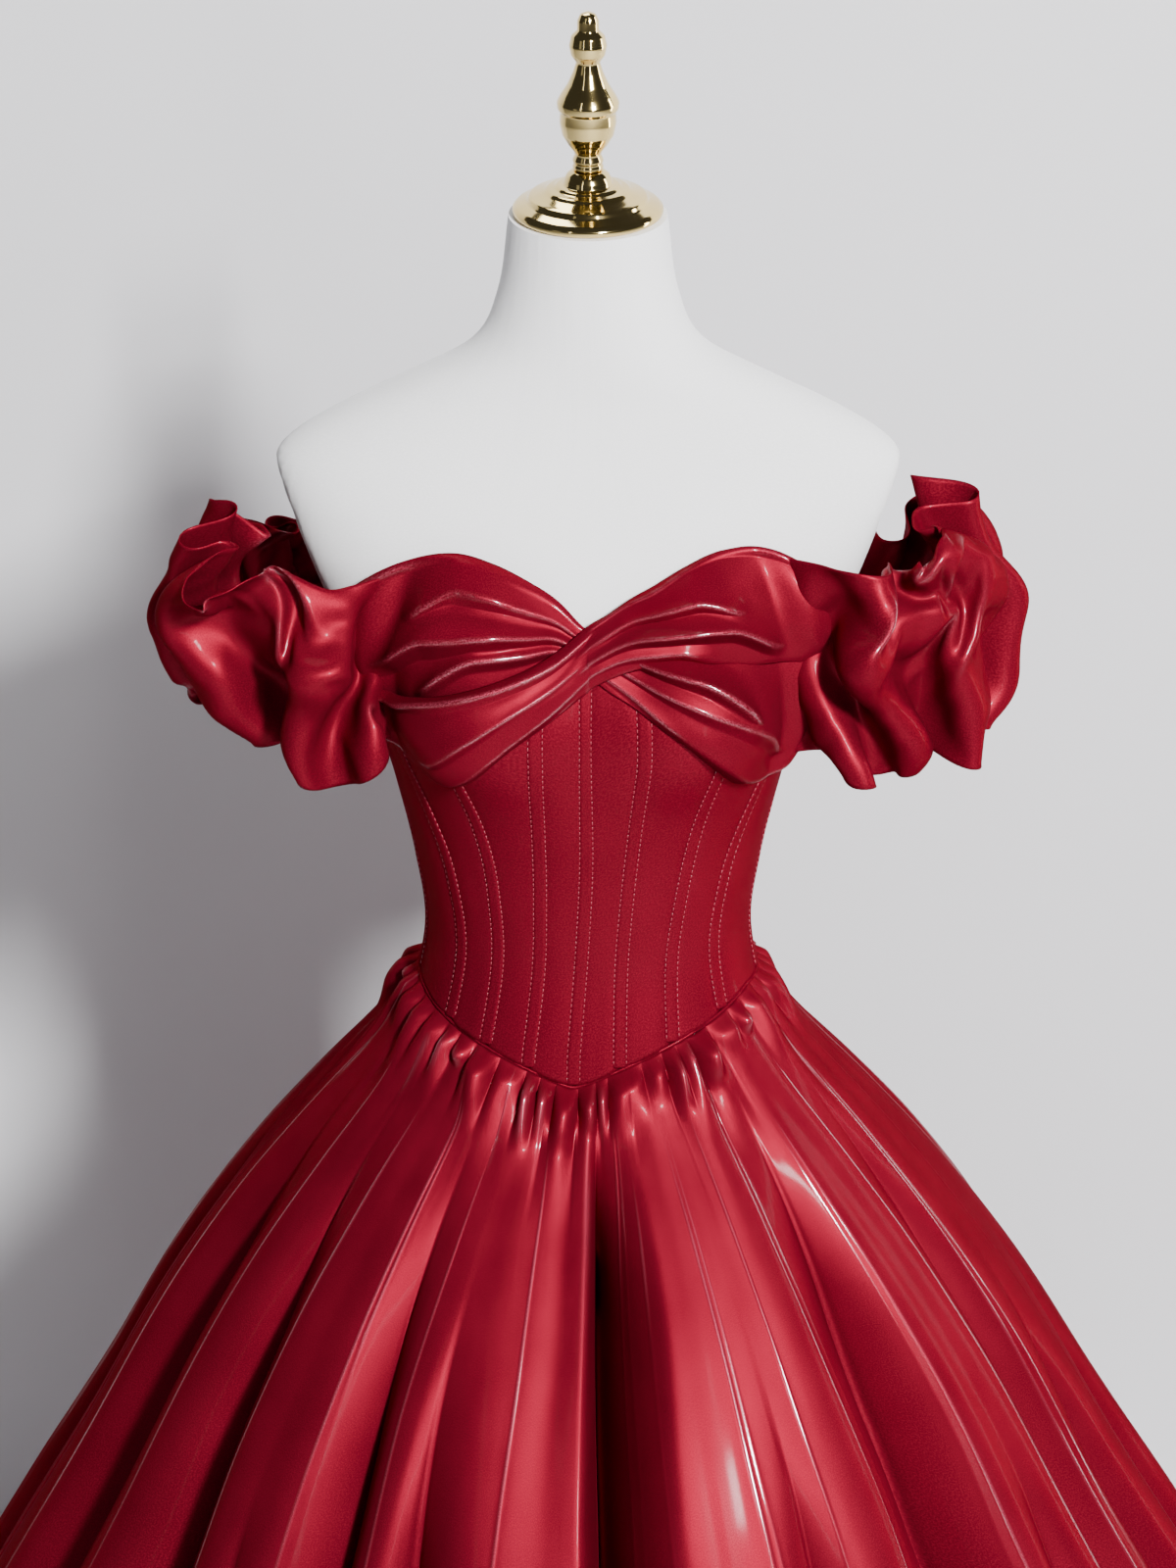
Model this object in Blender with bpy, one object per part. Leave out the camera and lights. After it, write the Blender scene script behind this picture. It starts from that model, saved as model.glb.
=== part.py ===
"""An off-the-shoulder satin ball gown standing on a limbless dress form.

Units are metres and +Z is up. The gown's front faces -Y and the wearer's left is +X.
Angles are degrees round the vertical axis, 0 at the front and positive towards +X.
"""

import math
from collections import namedtuple

import bmesh
import bpy
from mathutils import Matrix, Vector

# Driving dimensions of the cloth.
CLOTH = 0.0016
CASING_CLOTH = 0.0010
BODICE_EASE = 0.0024
SEAM_GAP = 0.0004
CASING_GAP = 0.0011
CASING_WIDTH = 0.010
CASING_FOOT = 0.012
ZIP_WIDTH = 0.006
BODICE_ROWS = 11
STEP = 1e-4

# The waist seam dips to a point at the front.
SEAM_HEIGHT = 1.012
POINT_DROP = 0.048
POINT_ANGLE = -6.0
POINT_SPREAD = 74.0
POINT_ROUNDING = 3.0

# The skirt, from the waist seam to the hem.
HEM_HEIGHT = 0.012
HEM_RADIUS = 0.715
HEM_SWAY = 0.012
SKIRT_SIDE_SEAM = 85.0
SKIRT_SEAM_GAP = 0.0007
SKIRT_TOP_GAP = 0.0017
SKIRT_TOP_OUT = 0.0013
FRONT_GATHERS = 34
BACK_GATHERS = 15
GATHER_DEPTH = 0.0030
GATHER_REACH = 0.16
FOLD_DEPTH = 0.034
SKIRT_BANDS = (0.0, 0.010, 0.035, 0.08, 0.15, 0.25, 0.39, 0.57, 0.78, 1.0)

# The dress form, its neck cap and its stand.
BUST_ANGLE = 34.0
BUST_SPREAD = 21.0
BUST_HEIGHT = 1.212
BUST_RISE = 0.045
BUST_DEPTH = 0.015
ARM_PLATE_SLOPE = 0.36
ARM_PLATE_HALF_WIDTH = 0.199
ARM_PLATE_HEIGHT = 1.366
ARM_PLATE_ROUNDING = 0.004
NECK_TILT = math.radians(7.0)
NECK_TILT_START = 1.46
POLE_RADIUS = 0.0125
FLANGE_RADIUS = 0.050
FLANGE_THICKNESS = 0.008
BASE_RADIUS = 0.170
BASE_THICKNESS = 0.014

# The ruffled sleeves.
SLEEVE_WAVES = 11
WAVE_COLUMNS = 6
SLEEVE_BANDS = 5
WAVE_DEPTH = 0.0150
SLEEVE_PUFF = 0.024
SLEEVE_HEIGHT_L = 1.05
SLEEVE_HEIGHT_R = 0.88
SLEEVE_SWIRL = 0.0028

# One row for each level section of the form, from the hips to the neck.
Section = namedtuple("Section", "height half_width front back squareness")
FORM_SECTIONS = (
    Section(0.800, 0.138, 0.094, 0.106, 2.2),
    Section(0.860, 0.153, 0.100, 0.118, 2.2),
    Section(0.920, 0.142, 0.097, 0.110, 2.2),
    Section(0.980, 0.119, 0.090, 0.094, 2.2),
    Section(1.045, 0.105, 0.083, 0.080, 2.1),
    Section(1.100, 0.111, 0.089, 0.085, 2.1),
    Section(1.150, 0.122, 0.098, 0.093, 2.1),
    Section(1.205, 0.138, 0.106, 0.100, 2.1),
    Section(1.250, 0.156, 0.102, 0.102, 2.2),
    Section(1.300, 0.183, 0.088, 0.103, 2.2),
    Section(1.336, 0.198, 0.074, 0.098, 2.2),
    Section(1.366, 0.204, 0.060, 0.086, 2.2),
    Section(1.383, 0.192, 0.053, 0.076, 2.2),
    Section(1.404, 0.158, 0.048, 0.067, 2.1),
    Section(1.419, 0.126, 0.046, 0.062, 2.1),
    Section(1.445, 0.076, 0.047, 0.057, 2.0),
    Section(1.477, 0.058, 0.048, 0.053, 2.0),
    Section(1.528, 0.050, 0.049, 0.049, 2.0),
)
FORM_BOTTOM = FORM_SECTIONS[0].height
NECK_TOP = FORM_SECTIONS[-1].height

# The bodice's top edge, the same on both sides.
Edge = namedtuple("Edge", "angle height")
BODICE_TOP = (
    Edge(0, 1.266),
    Edge(15, 1.283),
    Edge(35, 1.303),
    Edge(55, 1.303),
    Edge(72, 1.282),
    Edge(95, 1.245),
    Edge(122, 1.222),
    Edge(150, 1.206),
    Edge(180, 1.200),
)

# The bodice seams, each under a boning casing. The front ones lean to the skirt's point.
Seam = namedtuple("Seam", "name bottom waist top")
SEAM_LEVELS = (0.985, 1.11, 1.20)
SEAMS = (
    Seam("back_r", -122, -120, -122),
    Seam("side_back_r", -86, -84, -92),
    Seam("side_r", -57, -56, -67),
    Seam("side_front_r", -41, -38, -42),
    Seam("front_r", -24, -19, -17),
    Seam("centre", -6, -1, -1),
    Seam("front_l", 13, 16, 18),
    Seam("side_front_l", 34, 38, 40),
    Seam("side_l", 56, 56, 67),
    Seam("side_back_l", 86, 84, 92),
    Seam("back_l", 122, 120, 122),
)
Panel = namedtuple("Panel", "name columns")
PANELS = (
    Panel("bodice_back_r", 4),
    Panel("bodice_side_back_r", 4),
    Panel("bodice_side_r", 4),
    Panel("bodice_side_front_r", 3),
    Panel("bodice_front_outer_r", 3),
    Panel("bodice_front_inner_r", 2),
    Panel("bodice_front_inner_l", 2),
    Panel("bodice_front_outer_l", 3),
    Panel("bodice_side_front_l", 3),
    Panel("bodice_side_l", 4),
    Panel("bodice_side_back_l", 4),
    Panel("bodice_back_l", 4),
)

# Two bands of the bust drape cross at the centre front: one row for each place along a band.
Band = namedtuple("Band", "angle top bottom top_out bottom_out bulge")
OVER_BAND = (
    Band(-70, 1.243, 1.217, 0.0070, 0.0058, 0.001),
    Band(-60, 1.241, 1.205, 0.0075, 0.0060, 0.003),
    Band(-50, 1.240, 1.197, 0.0095, 0.0070, 0.011),
    Band(-38, 1.243, 1.188, 0.0105, 0.0080, 0.015),
    Band(-23, 1.257, 1.215, 0.0120, 0.0080, 0.012),
    Band(-12, 1.270, 1.232, 0.0125, 0.0095, 0.008),
    Band(0, 1.286, 1.249, 0.0120, 0.0120, 0.006),
    Band(8, 1.293, 1.256, 0.0100, 0.0125, 0.007),
    Band(17, 1.302, 1.261, 0.0080, 0.0125, 0.010),
    Band(27, 1.310, 1.263, 0.0065, 0.0110, 0.015),
    Band(38, 1.320, 1.262, 0.0060, 0.0100, 0.018),
    Band(50, 1.329, 1.260, 0.0060, 0.0095, 0.013),
    Band(60, 1.333, 1.260, 0.0060, 0.0075, 0.003),
    Band(70, 1.329, 1.262, 0.0060, 0.0070, 0.001),
)
UNDER_BAND = (
    Band(-70, 1.321, 1.247, 0.0060, 0.0060, 0.001),
    Band(-60, 1.326, 1.245, 0.0060, 0.0060, 0.003),
    Band(-50, 1.327, 1.244, 0.0060, 0.0065, 0.014),
    Band(-38, 1.322, 1.247, 0.0060, 0.0065, 0.018),
    Band(-23, 1.311, 1.258, 0.0060, 0.0060, 0.008),
    Band(-12, 1.301, 1.262, 0.0060, 0.0060, 0.001),
    Band(0, 1.284, 1.256, 0.0060, 0.0060, 0.0),
    Band(8, 1.276, 1.247, 0.0060, 0.0060, 0.0),
    Band(17, 1.265, 1.236, 0.0060, 0.0060, 0.001),
    Band(27, 1.259, 1.219, 0.0060, 0.0065, 0.009),
    Band(38, 1.257, 1.197, 0.0060, 0.0080, 0.014),
    Band(47, 1.256, 1.183, 0.0060, 0.0075, 0.013),
    Band(60, 1.255, 1.180, 0.0060, 0.0060, 0.003),
    Band(70, 1.257, 1.200, 0.0060, 0.0060, 0.001),
)
DRAPE_LIFT = 0.0009
DRAPE_COLUMNS = 28
DRAPE_ROWS = 6
PLEATS = 2.5
PLEAT_DEPTH = 0.0020
PLEAT_FADE = 24.0

# The left sleeve's path round the arm, seen from above, and its height. The right one is its mirror.
Station = namedtuple("Station", "place x y middle height")
SLEEVE_PATH = (
    Station(0, 0.139, -0.074, 1.258, 0.122),
    Station(1, 0.174, -0.091, 1.262, 0.138),
    Station(2, 0.212, -0.075, 1.264, 0.146),
    Station(3, 0.238, -0.039, 1.264, 0.146),
    Station(4, 0.245, 0.004, 1.262, 0.140),
    Station(5, 0.234, 0.046, 1.252, 0.128),
    Station(6, 0.203, 0.079, 1.244, 0.118),
    Station(7, 0.164, 0.094, 1.232, 0.108),
    Station(8, 0.130, 0.076, 1.222, 0.100),
)
SLEEVE_FRONT = 64.0
SLEEVE_FRONT_OUT = 0.0150
SLEEVE_BACK = 116.0
SLEEVE_BACK_GAP = 0.0008
SLEEVE_SEAT = 0.04

# How far the skirt has flared at each share of its drop.
Flare = namedtuple("Flare", "drop flare")
SKIRT_FLARE = (
    Flare(0.0, 0.0),
    Flare(0.02, 0.023),
    Flare(0.05, 0.063),
    Flare(0.1, 0.138),
    Flare(0.16, 0.222),
    Flare(0.24, 0.318),
    Flare(0.34, 0.419),
    Flare(0.46, 0.544),
    Flare(0.7, 0.775),
    Flare(1.0, 1.0),
)

# The valleys between the skirt's large folds, and how deep each is. The centre front one is deepest.
Valley = namedtuple("Valley", "angle depth")
SKIRT_VALLEYS = (
    Valley(-187, 0.9),
    Valley(-173, 0.9),
    Valley(-160, 0.8),
    Valley(-147, 1.1),
    Valley(-134, 0.7),
    Valley(-120, 1.0),
    Valley(-107, 0.8),
    Valley(-95, 0.9),
    Valley(-74, 1.0),
    Valley(-57, 1.1),
    Valley(-46, 0.7),
    Valley(-33, 1.1),
    Valley(-23, 0.9),
    Valley(2, 1.5),
    Valley(17, 0.7),
    Valley(27, 0.9),
    Valley(46, 1.2),
    Valley(58, 0.7),
    Valley(68, 1.0),
    Valley(79, 0.8),
    Valley(91, 0.8),
    Valley(104, 1.0),
    Valley(117, 0.8),
    Valley(131, 1.0),
    Valley(145, 0.8),
    Valley(159, 1.1),
    Valley(173, 0.9),
    Valley(187, 0.9),
)

# Turned outlines, as radius and height above each piece's own foot.
Turn = namedtuple("Turn", "radius height")
CAP_OUTLINE = (
    Turn(0.0455, 0.0),
    Turn(0.0475, 0.0015),
    Turn(0.0475, 0.0042),
    Turn(0.0450, 0.0065),
    Turn(0.0385, 0.0090),
    Turn(0.0370, 0.0120),
    Turn(0.0330, 0.0132),
    Turn(0.0280, 0.0150),
    Turn(0.0255, 0.0168),
    Turn(0.0215, 0.0176),
    Turn(0.0195, 0.0192),
    Turn(0.0155, 0.0196),
    Turn(0.0150, 0.0225),
    Turn(0.0132, 0.0260),
    Turn(0.0100, 0.0282),
)
FINIAL_OUTLINE = (
    Turn(0.0090, 0.0),
    Turn(0.0099, 0.0022),
    Turn(0.0090, 0.0042),
    Turn(0.0099, 0.0064),
    Turn(0.0082, 0.0100),
    Turn(0.0090, 0.0122),
    Turn(0.0125, 0.0167),
    Turn(0.0162, 0.0230),
    Turn(0.0178, 0.0310),
    Turn(0.0174, 0.0378),
    Turn(0.0192, 0.0398),
    Turn(0.0194, 0.0440),
    Turn(0.0168, 0.0488),
    Turn(0.0128, 0.0550),
    Turn(0.0092, 0.0632),
    Turn(0.0074, 0.0690),
    Turn(0.0106, 0.0735),
    Turn(0.0118, 0.0795),
    Turn(0.0104, 0.0855),
    Turn(0.0067, 0.0890),
    Turn(0.0067, 0.0950),
    Turn(0.0048, 0.0990),
)
FINIAL_TIP = 0.1008
TURNED_SIDES = 16
BASE_OUTLINE = (
    Turn(BASE_RADIUS - 0.003, 0.0),
    Turn(BASE_RADIUS, 0.003),
    Turn(BASE_RADIUS, 0.008),
    Turn(BASE_RADIUS - 0.012, BASE_THICKNESS),
    Turn(0.045, BASE_THICKNESS + 0.008),
    Turn(0.026, BASE_THICKNESS + 0.018),
    Turn(0.022, BASE_THICKNESS + 0.034),
)


def clear_scene():
    """Removes every object that the file opens with."""
    for obj in list(bpy.data.objects):
        bpy.data.objects.remove(obj, do_unlink=True)


def finish(name, color, roughness, metallic=0.0):
    """A plain surface of one colour."""
    material = bpy.data.materials.new(name)
    material.use_nodes = True
    shader = material.node_tree.nodes["Principled BSDF"]
    shader.inputs["Base Color"].default_value = (*color, 1.0)
    shader.inputs["Roughness"].default_value = roughness
    shader.inputs["Metallic"].default_value = metallic
    return material


def mix(start, end, share):
    return start + (end - start) * share


def ease(share):
    """0 to 1 with level ends."""
    share = min(max(share, 0.0), 1.0)
    return share * share * (3 - 2 * share)


def read(rows, key, column):
    """A smooth curve through one column of a table, read at a value of the table's first column."""
    keys = [row[0] for row in rows]
    values = [getattr(row, column) for row in rows]
    if key <= keys[0]:
        return values[0]
    if key >= keys[-1]:
        return values[-1]
    i = max(k for k in range(len(keys) - 1) if keys[k] <= key)

    def slope(k):
        before, after = max(k - 1, 0), min(k + 1, len(keys) - 1)
        return (values[after] - values[before]) / (keys[after] - keys[before])

    span = keys[i + 1] - keys[i]
    t = (key - keys[i]) / span
    rise = values[i + 1] - values[i]
    start, end = slope(i) * span, slope(i + 1) * span
    return values[i] + t * start + t * t * (3 * rise - 2 * start - end) + t**3 * (start + end - 2 * rise)


def form_point(angle, height):
    """The dress form's surface at an angle and a height."""
    half_width = read(FORM_SECTIONS, height, "half_width")
    power = read(FORM_SECTIONS, height, "squareness")
    turn = math.radians(angle)
    across, ahead = math.sin(turn), math.cos(turn)
    depth = read(FORM_SECTIONS, height, "front" if ahead > 0 else "back")
    radius = (abs(across / half_width) ** power + abs(ahead / depth) ** power) ** (-1 / power)
    away = min(abs(angle - BUST_ANGLE), abs(angle + BUST_ANGLE)) / BUST_SPREAD
    rise = (height - BUST_HEIGHT) / BUST_RISE
    radius += BUST_DEPTH * math.exp(-away * away - rise * rise)
    x, y = radius * across, -radius * ahead
    plate = ARM_PLATE_HALF_WIDTH - ARM_PLATE_SLOPE * (ARM_PLATE_HEIGHT - height)
    over = (abs(x) - plate) / ARM_PLATE_ROUNDING
    if height > BUST_HEIGHT and over > -1:
        kept = plate + ARM_PLATE_ROUNDING * (1 - (1 - over) ** 2 / 4 if over < 1 else 1) - ARM_PLATE_ROUNDING
        x = math.copysign(min(abs(x), kept), x)
    tilt = math.tan(NECK_TILT) * ease((height - NECK_TILT_START) / (NECK_TOP - NECK_TILT_START))
    return Vector((x, y, height + y * tilt))


def off_form(angle, height, out):
    """A point that stands out from the form, square to its surface."""
    here = form_point(angle, height)
    round_it = form_point(angle + 0.5, height) - form_point(angle - 0.5, height)
    up = form_point(angle, height + STEP) - form_point(angle, height - STEP)
    return here + round_it.cross(up).normalized() * out


def reach(angle, height):
    """How far the form's surface is from the vertical axis."""
    point = form_point(angle, height)
    return math.hypot(point.x, point.y)


def add_piece(name, mesh, material, thickness=0.0):
    """A named object from a bmesh. A thickness makes its faces a wall that grows outwards."""
    data = bpy.data.meshes.new(name)
    mesh.to_mesh(data)
    mesh.free()
    data.shade_smooth()
    data.materials.append(material)
    obj = bpy.data.objects.new(name, data)
    bpy.context.scene.collection.objects.link(obj)
    if thickness:
        wall = obj.modifiers.new("wall", "SOLIDIFY")
        wall.thickness = thickness
        wall.offset = 1.0
    return obj


def sheet(name, columns, rows, place, material, thickness=CLOTH):
    """A cloth wall. place(u, v) gives the inner face, u along the cloth and v up it, each from 0 to 1."""
    mesh = bmesh.new()
    bmesh.ops.create_grid(mesh, x_segments=columns, y_segments=rows, size=0.5)
    for vertex in mesh.verts:
        vertex.co = place(vertex.co.x + 0.5, vertex.co.y + 0.5)
    return add_piece(name, mesh, material, thickness)


def turned(name, outline, sides, material, tip=None):
    """A solid turned about +Z from an outline that runs from its foot to its head."""
    mesh = bmesh.new()
    rings = [Vector((0, 0, outline[0].height))]
    rings += [Vector((turn.radius, 0, turn.height)) for turn in outline]
    rings.append(Vector((0, 0, outline[-1].height if tip is None else tip)))
    points = [mesh.verts.new(ring) for ring in rings]
    for low, high in zip(points, points[1:]):
        mesh.edges.new((low, high))
    bmesh.ops.spin(
        mesh, geom=mesh.verts[:] + mesh.edges[:], cent=(0, 0, 0), axis=(0, 0, 1),
        angle=math.tau, steps=sides, use_merge=True,
    )
    bmesh.ops.remove_doubles(mesh, verts=mesh.verts[:], dist=1e-6)
    bmesh.ops.recalc_face_normals(mesh, faces=mesh.faces[:])
    obj = add_piece(name, mesh, material)
    obj.data.set_sharp_from_angle(angle=math.radians(50))
    return obj


def waist_seam(angle):
    """The height of the seam that joins the bodice to the skirt."""
    away = math.sqrt((angle - POINT_ANGLE) ** 2 + POINT_ROUNDING**2) - POINT_ROUNDING
    return SEAM_HEIGHT - POINT_DROP * max(0.0, 1 - away / POINT_SPREAD) ** 1.1


def seam_angle(seam, height):
    """Where a bodice seam runs at a height."""
    Level = namedtuple("Level", "height angle")
    levels = [Level(SEAM_LEVELS[k], seam[k + 1]) for k in range(3)]
    return read(levels, height, "angle")


def seam_place(seam, share):
    """The angle and height of a bodice seam at a share of the way up it."""
    angle, height = seam.waist, SEAM_LEVELS[1]
    for _ in range(4):
        low, high = waist_seam(angle), read(BODICE_TOP, abs(angle), "height")
        height = mix(low, high, share)
        angle = seam_angle(seam, height)
    return angle, height


def bodice_panel(panel, left, right, material, left_trim, right_trim):
    """One corset panel between two seams. Each trim is the room left beside a seam."""

    def place(u, v):
        start, height = seam_place(left, v)
        end, _ = seam_place(right, v)
        radius = reach(mix(start, end, u), height)
        start += math.degrees(left_trim / radius)
        end -= math.degrees(right_trim / radius)
        angle = mix(start, end, u)
        low, high = waist_seam(angle), read(BODICE_TOP, abs(angle), "height")
        return off_form(angle, mix(low, high, v), BODICE_EASE)

    return sheet(panel.name, panel.columns, BODICE_ROWS, place, material)


def casing(seam, material):
    """A boning casing stitched over a seam."""
    out = BODICE_EASE + CLOTH + CASING_GAP

    def place(u, v):
        angle, height = seam_place(seam, max(v, CASING_FOOT))
        aside = (u - 0.5) * CASING_WIDTH / reach(angle, height)
        return off_form(angle + math.degrees(aside), height, out)

    return sheet(f"casing_{seam.name}", 1, BODICE_ROWS, place, material, CASING_CLOTH)


def back_zip(material):
    """The closed zip between the two back panels."""

    def place(u, v):
        high = read(BODICE_TOP, 180, "height")
        height = mix(SEAM_HEIGHT, high, v)
        aside = (u - 0.5) * (ZIP_WIDTH - 2 * SEAM_GAP) / reach(180, height)
        return off_form(180 + math.degrees(aside), height, BODICE_EASE)

    return sheet("back_zip", 1, BODICE_ROWS, place, material, CASING_CLOTH)


def bodice(material, zip_material):
    """The corset panels from the right side of the zip round to the left, and their casings."""
    back_right, back_left = Seam("", -180, -180, -180), Seam("", 180, 180, 180)
    edges = (back_right, *SEAMS, back_left)
    for panel, left, right in zip(PANELS, edges, edges[1:]):
        left_trim = ZIP_WIDTH / 2 if left is back_right else SEAM_GAP / 2
        right_trim = ZIP_WIDTH / 2 if right is back_left else SEAM_GAP / 2
        bodice_panel(panel, left, right, material, left_trim, right_trim)
    for seam in SEAMS:
        casing(seam, material)
    back_zip(zip_material)


def drape_band(name, rows, material):
    """One band of the twisted bust drape, with pleats that fan out from the crossing."""

    def place(u, v):
        angle = mix(rows[0].angle, rows[-1].angle, u)
        height = mix(read(rows, angle, "bottom"), read(rows, angle, "top"), v)
        out = DRAPE_LIFT + mix(read(rows, angle, "bottom_out"), read(rows, angle, "top_out"), v)
        out += max(read(rows, angle, "bulge"), 0.0) * math.sin(math.pi * v) ** 0.7
        fade = ease(abs(angle) / PLEAT_FADE) * math.sin(math.pi * v)
        out -= PLEAT_DEPTH * fade * math.cos(math.tau * PLEATS * v)
        return off_form(angle, height, out)

    return sheet(name, DRAPE_COLUMNS, DRAPE_ROWS, place, material)


def sleeve(name, side, start, tall, material):
    """A deep ruffle that loops round the arm, from the bust drape to the back. side is 1 or -1."""
    last = SLEEVE_PATH[-1].place

    def middle(place):
        return Vector((read(SLEEVE_PATH, place, "x"), read(SLEEVE_PATH, place, "y"), 0))

    def place(u, v):
        along = u if side > 0 else 1 - u
        station = along * last
        tangent = (middle(station + 0.05) - middle(station - 0.05)).normalized()
        outwards = Vector((tangent.y, -tangent.x, 0))
        bow = 2 * v - 1
        phase = math.tau * (SLEEVE_WAVES * along + start) + 0.7 * bow * math.sin(9 * along + start)
        ends = ease(along / 0.12) * ease((1 - along) / 0.08)
        depth = WAVE_DEPTH * (0.75 + 0.25 * math.sin(17 * along + 5 * start)) * (0.62 + 0.38 * bow * bow)
        out = ends * (depth * math.sin(phase) + SLEEVE_PUFF * (1 - bow * bow))
        shift = -ends * SLEEVE_SWIRL * math.sin(2 * phase)
        point = middle(station) + outwards * out + tangent * shift
        lift = 0.004 * ends * bow * math.sin(phase * 0.5 + start)
        height = read(SLEEVE_PATH, station, "middle") + bow * tall * read(SLEEVE_PATH, station, "height") / 2
        point.z = height + lift
        front = off_form(SLEEVE_FRONT, height, SLEEVE_FRONT_OUT)
        back = off_form(SLEEVE_BACK, height, BODICE_EASE + CLOTH + SLEEVE_BACK_GAP)
        point = point.lerp(front, 1 - ease(along / SLEEVE_SEAT))
        point = point.lerp(back, 1 - ease((1 - along) / SLEEVE_SEAT))
        point.x *= side
        return point

    return sheet(name, SLEEVE_WAVES * WAVE_COLUMNS, SLEEVE_BANDS, place, material)


def fold_depth(angle):
    """The skirt's fold outline: 0 on a fold's round ridge, down to minus its depth in a valley."""
    for before, after in zip(SKIRT_VALLEYS, SKIRT_VALLEYS[1:]):
        if angle <= after.angle:
            break
    share = (angle - before.angle) / (after.angle - before.angle)
    wide = min(1.0, (after.angle - before.angle) / 14)
    return -wide * mix(before.depth, after.depth, ease(share)) * abs(math.cos(math.pi * share)) ** 1.5


def skirt_point(angle, drop, gather):
    """The skirt's inner face at an angle and a share of its drop. gather is 1 on a gather's ridge and -1 between."""
    seam = waist_seam(angle)
    height = mix(seam - SKIRT_TOP_GAP, HEM_HEIGHT, drop)
    start = reach(angle, seam) + BODICE_EASE + SKIRT_TOP_OUT
    radius = mix(start, HEM_RADIUS, read(SKIRT_FLARE, drop, "flare"))
    radius += GATHER_DEPTH * gather * (0.45 + 0.55 * ease(drop / 0.03)) * (1 - ease(drop / GATHER_REACH))
    radius += FOLD_DEPTH * 1.6 * ease(drop / 0.30) * mix(0.6, 1.0, drop) * fold_depth(angle)
    turn = math.radians(angle)
    sway = HEM_SWAY * read(SKIRT_FLARE, drop, "flare")
    return Vector((radius * math.sin(turn) + sway, -radius * math.cos(turn), height))


def skirt_panel(name, start, end, gathers, material):
    """One width of the gathered skirt, between two upright seams."""

    def place(u, v):
        band = round((1 - v) * (len(SKIRT_BANDS) - 1))
        drop = SKIRT_BANDS[band]
        column = round(u * 2 * gathers)
        radius = mix(reach(mix(start, end, u), SEAM_HEIGHT), HEM_RADIUS, read(SKIRT_FLARE, drop, "flare"))
        trim = math.degrees(SKIRT_SEAM_GAP / 2 / radius)
        angle = mix(start + trim, end - trim, u)
        return skirt_point(angle, drop, 1 if column % 2 == 0 else -1)

    return sheet(name, 2 * gathers, len(SKIRT_BANDS) - 1, place, material)


def skirt(material):
    skirt_panel("skirt_front", -SKIRT_SIDE_SEAM, SKIRT_SIDE_SEAM, FRONT_GATHERS, material)
    skirt_panel("skirt_back_l", SKIRT_SIDE_SEAM, 180, BACK_GATHERS, material)
    skirt_panel("skirt_back_r", -180, -SKIRT_SIDE_SEAM, BACK_GATHERS, material)


def dress_form(material):
    """The limbless torso, closed at the hips and the neck."""
    rows = [section.height for section in FORM_SECTIONS]
    heights = sorted(rows + [mix(low, high, 0.5) for low, high in zip(rows, rows[1:]) if high - low > 0.03])
    columns = 36
    mesh = bmesh.new()
    bmesh.ops.create_grid(mesh, x_segments=columns, y_segments=len(heights) - 1, size=0.5)
    for vertex in mesh.verts:
        row = round((vertex.co.y + 0.5) * (len(heights) - 1))
        angle = -180 + 360 * (vertex.co.x + 0.5)
        vertex.co = form_point(angle, heights[row])
    bmesh.ops.remove_doubles(mesh, verts=mesh.verts[:], dist=1e-6)
    bmesh.ops.holes_fill(mesh, edges=[edge for edge in mesh.edges if edge.is_boundary], sides=columns)
    bmesh.ops.recalc_face_normals(mesh, faces=mesh.faces[:])
    obj = add_piece("dress_form", mesh, material)
    obj.data.set_sharp_from_angle(angle=math.radians(50))


def neck_fittings(material):
    """The turned cap on the neck and the finial on it, tilted with the neck's top."""
    lean = Matrix.Rotation(NECK_TILT, 4, "X")
    foot = Vector((0, 0, NECK_TOP + SEAM_GAP))
    cap = turned("neck_cap", CAP_OUTLINE, TURNED_SIDES, material)
    cap.location = foot
    cap.rotation_euler = lean.to_euler()
    finial = turned("finial", FINIAL_OUTLINE, TURNED_SIDES, material, FINIAL_TIP)
    finial.location = foot + lean.to_3x3() @ Vector((0, 0, CAP_OUTLINE[-1].height + SEAM_GAP))
    finial.rotation_euler = lean.to_euler()


def stand(material):
    """A round weighted base on the floor, and the pole and flange that carry the form."""
    turned("stand_base", BASE_OUTLINE, 40, material)
    foot = BASE_OUTLINE[-1].height + SEAM_GAP
    flange = FORM_BOTTOM - SEAM_GAP - FLANGE_THICKNESS
    pole_outline = (
        Turn(POLE_RADIUS, foot),
        Turn(POLE_RADIUS, flange),
        Turn(FLANGE_RADIUS, flange),
        Turn(FLANGE_RADIUS, flange + FLANGE_THICKNESS),
    )
    turned("stand_pole", pole_outline, TURNED_SIDES, material)


def main():
    clear_scene()
    satin = finish("crimson_satin", (0.42, 0.006, 0.022), 0.28)
    tape = finish("crimson_zip", (0.30, 0.005, 0.016), 0.5)
    jersey = finish("white_jersey", (0.80, 0.79, 0.79), 0.85)
    gold = finish("gold_metal", (0.83, 0.62, 0.24), 0.12, 1.0)
    dress_form(jersey)
    neck_fittings(gold)
    stand(gold)
    bodice(satin, tape)
    drape_band("drape_over", OVER_BAND, satin)
    drape_band("drape_under", UNDER_BAND, satin)
    sleeve("sleeve_l", 1, 0.15, SLEEVE_HEIGHT_L, satin)
    sleeve("sleeve_r", -1, 0.45, SLEEVE_HEIGHT_R, satin)
    skirt(satin)


main()
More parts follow.
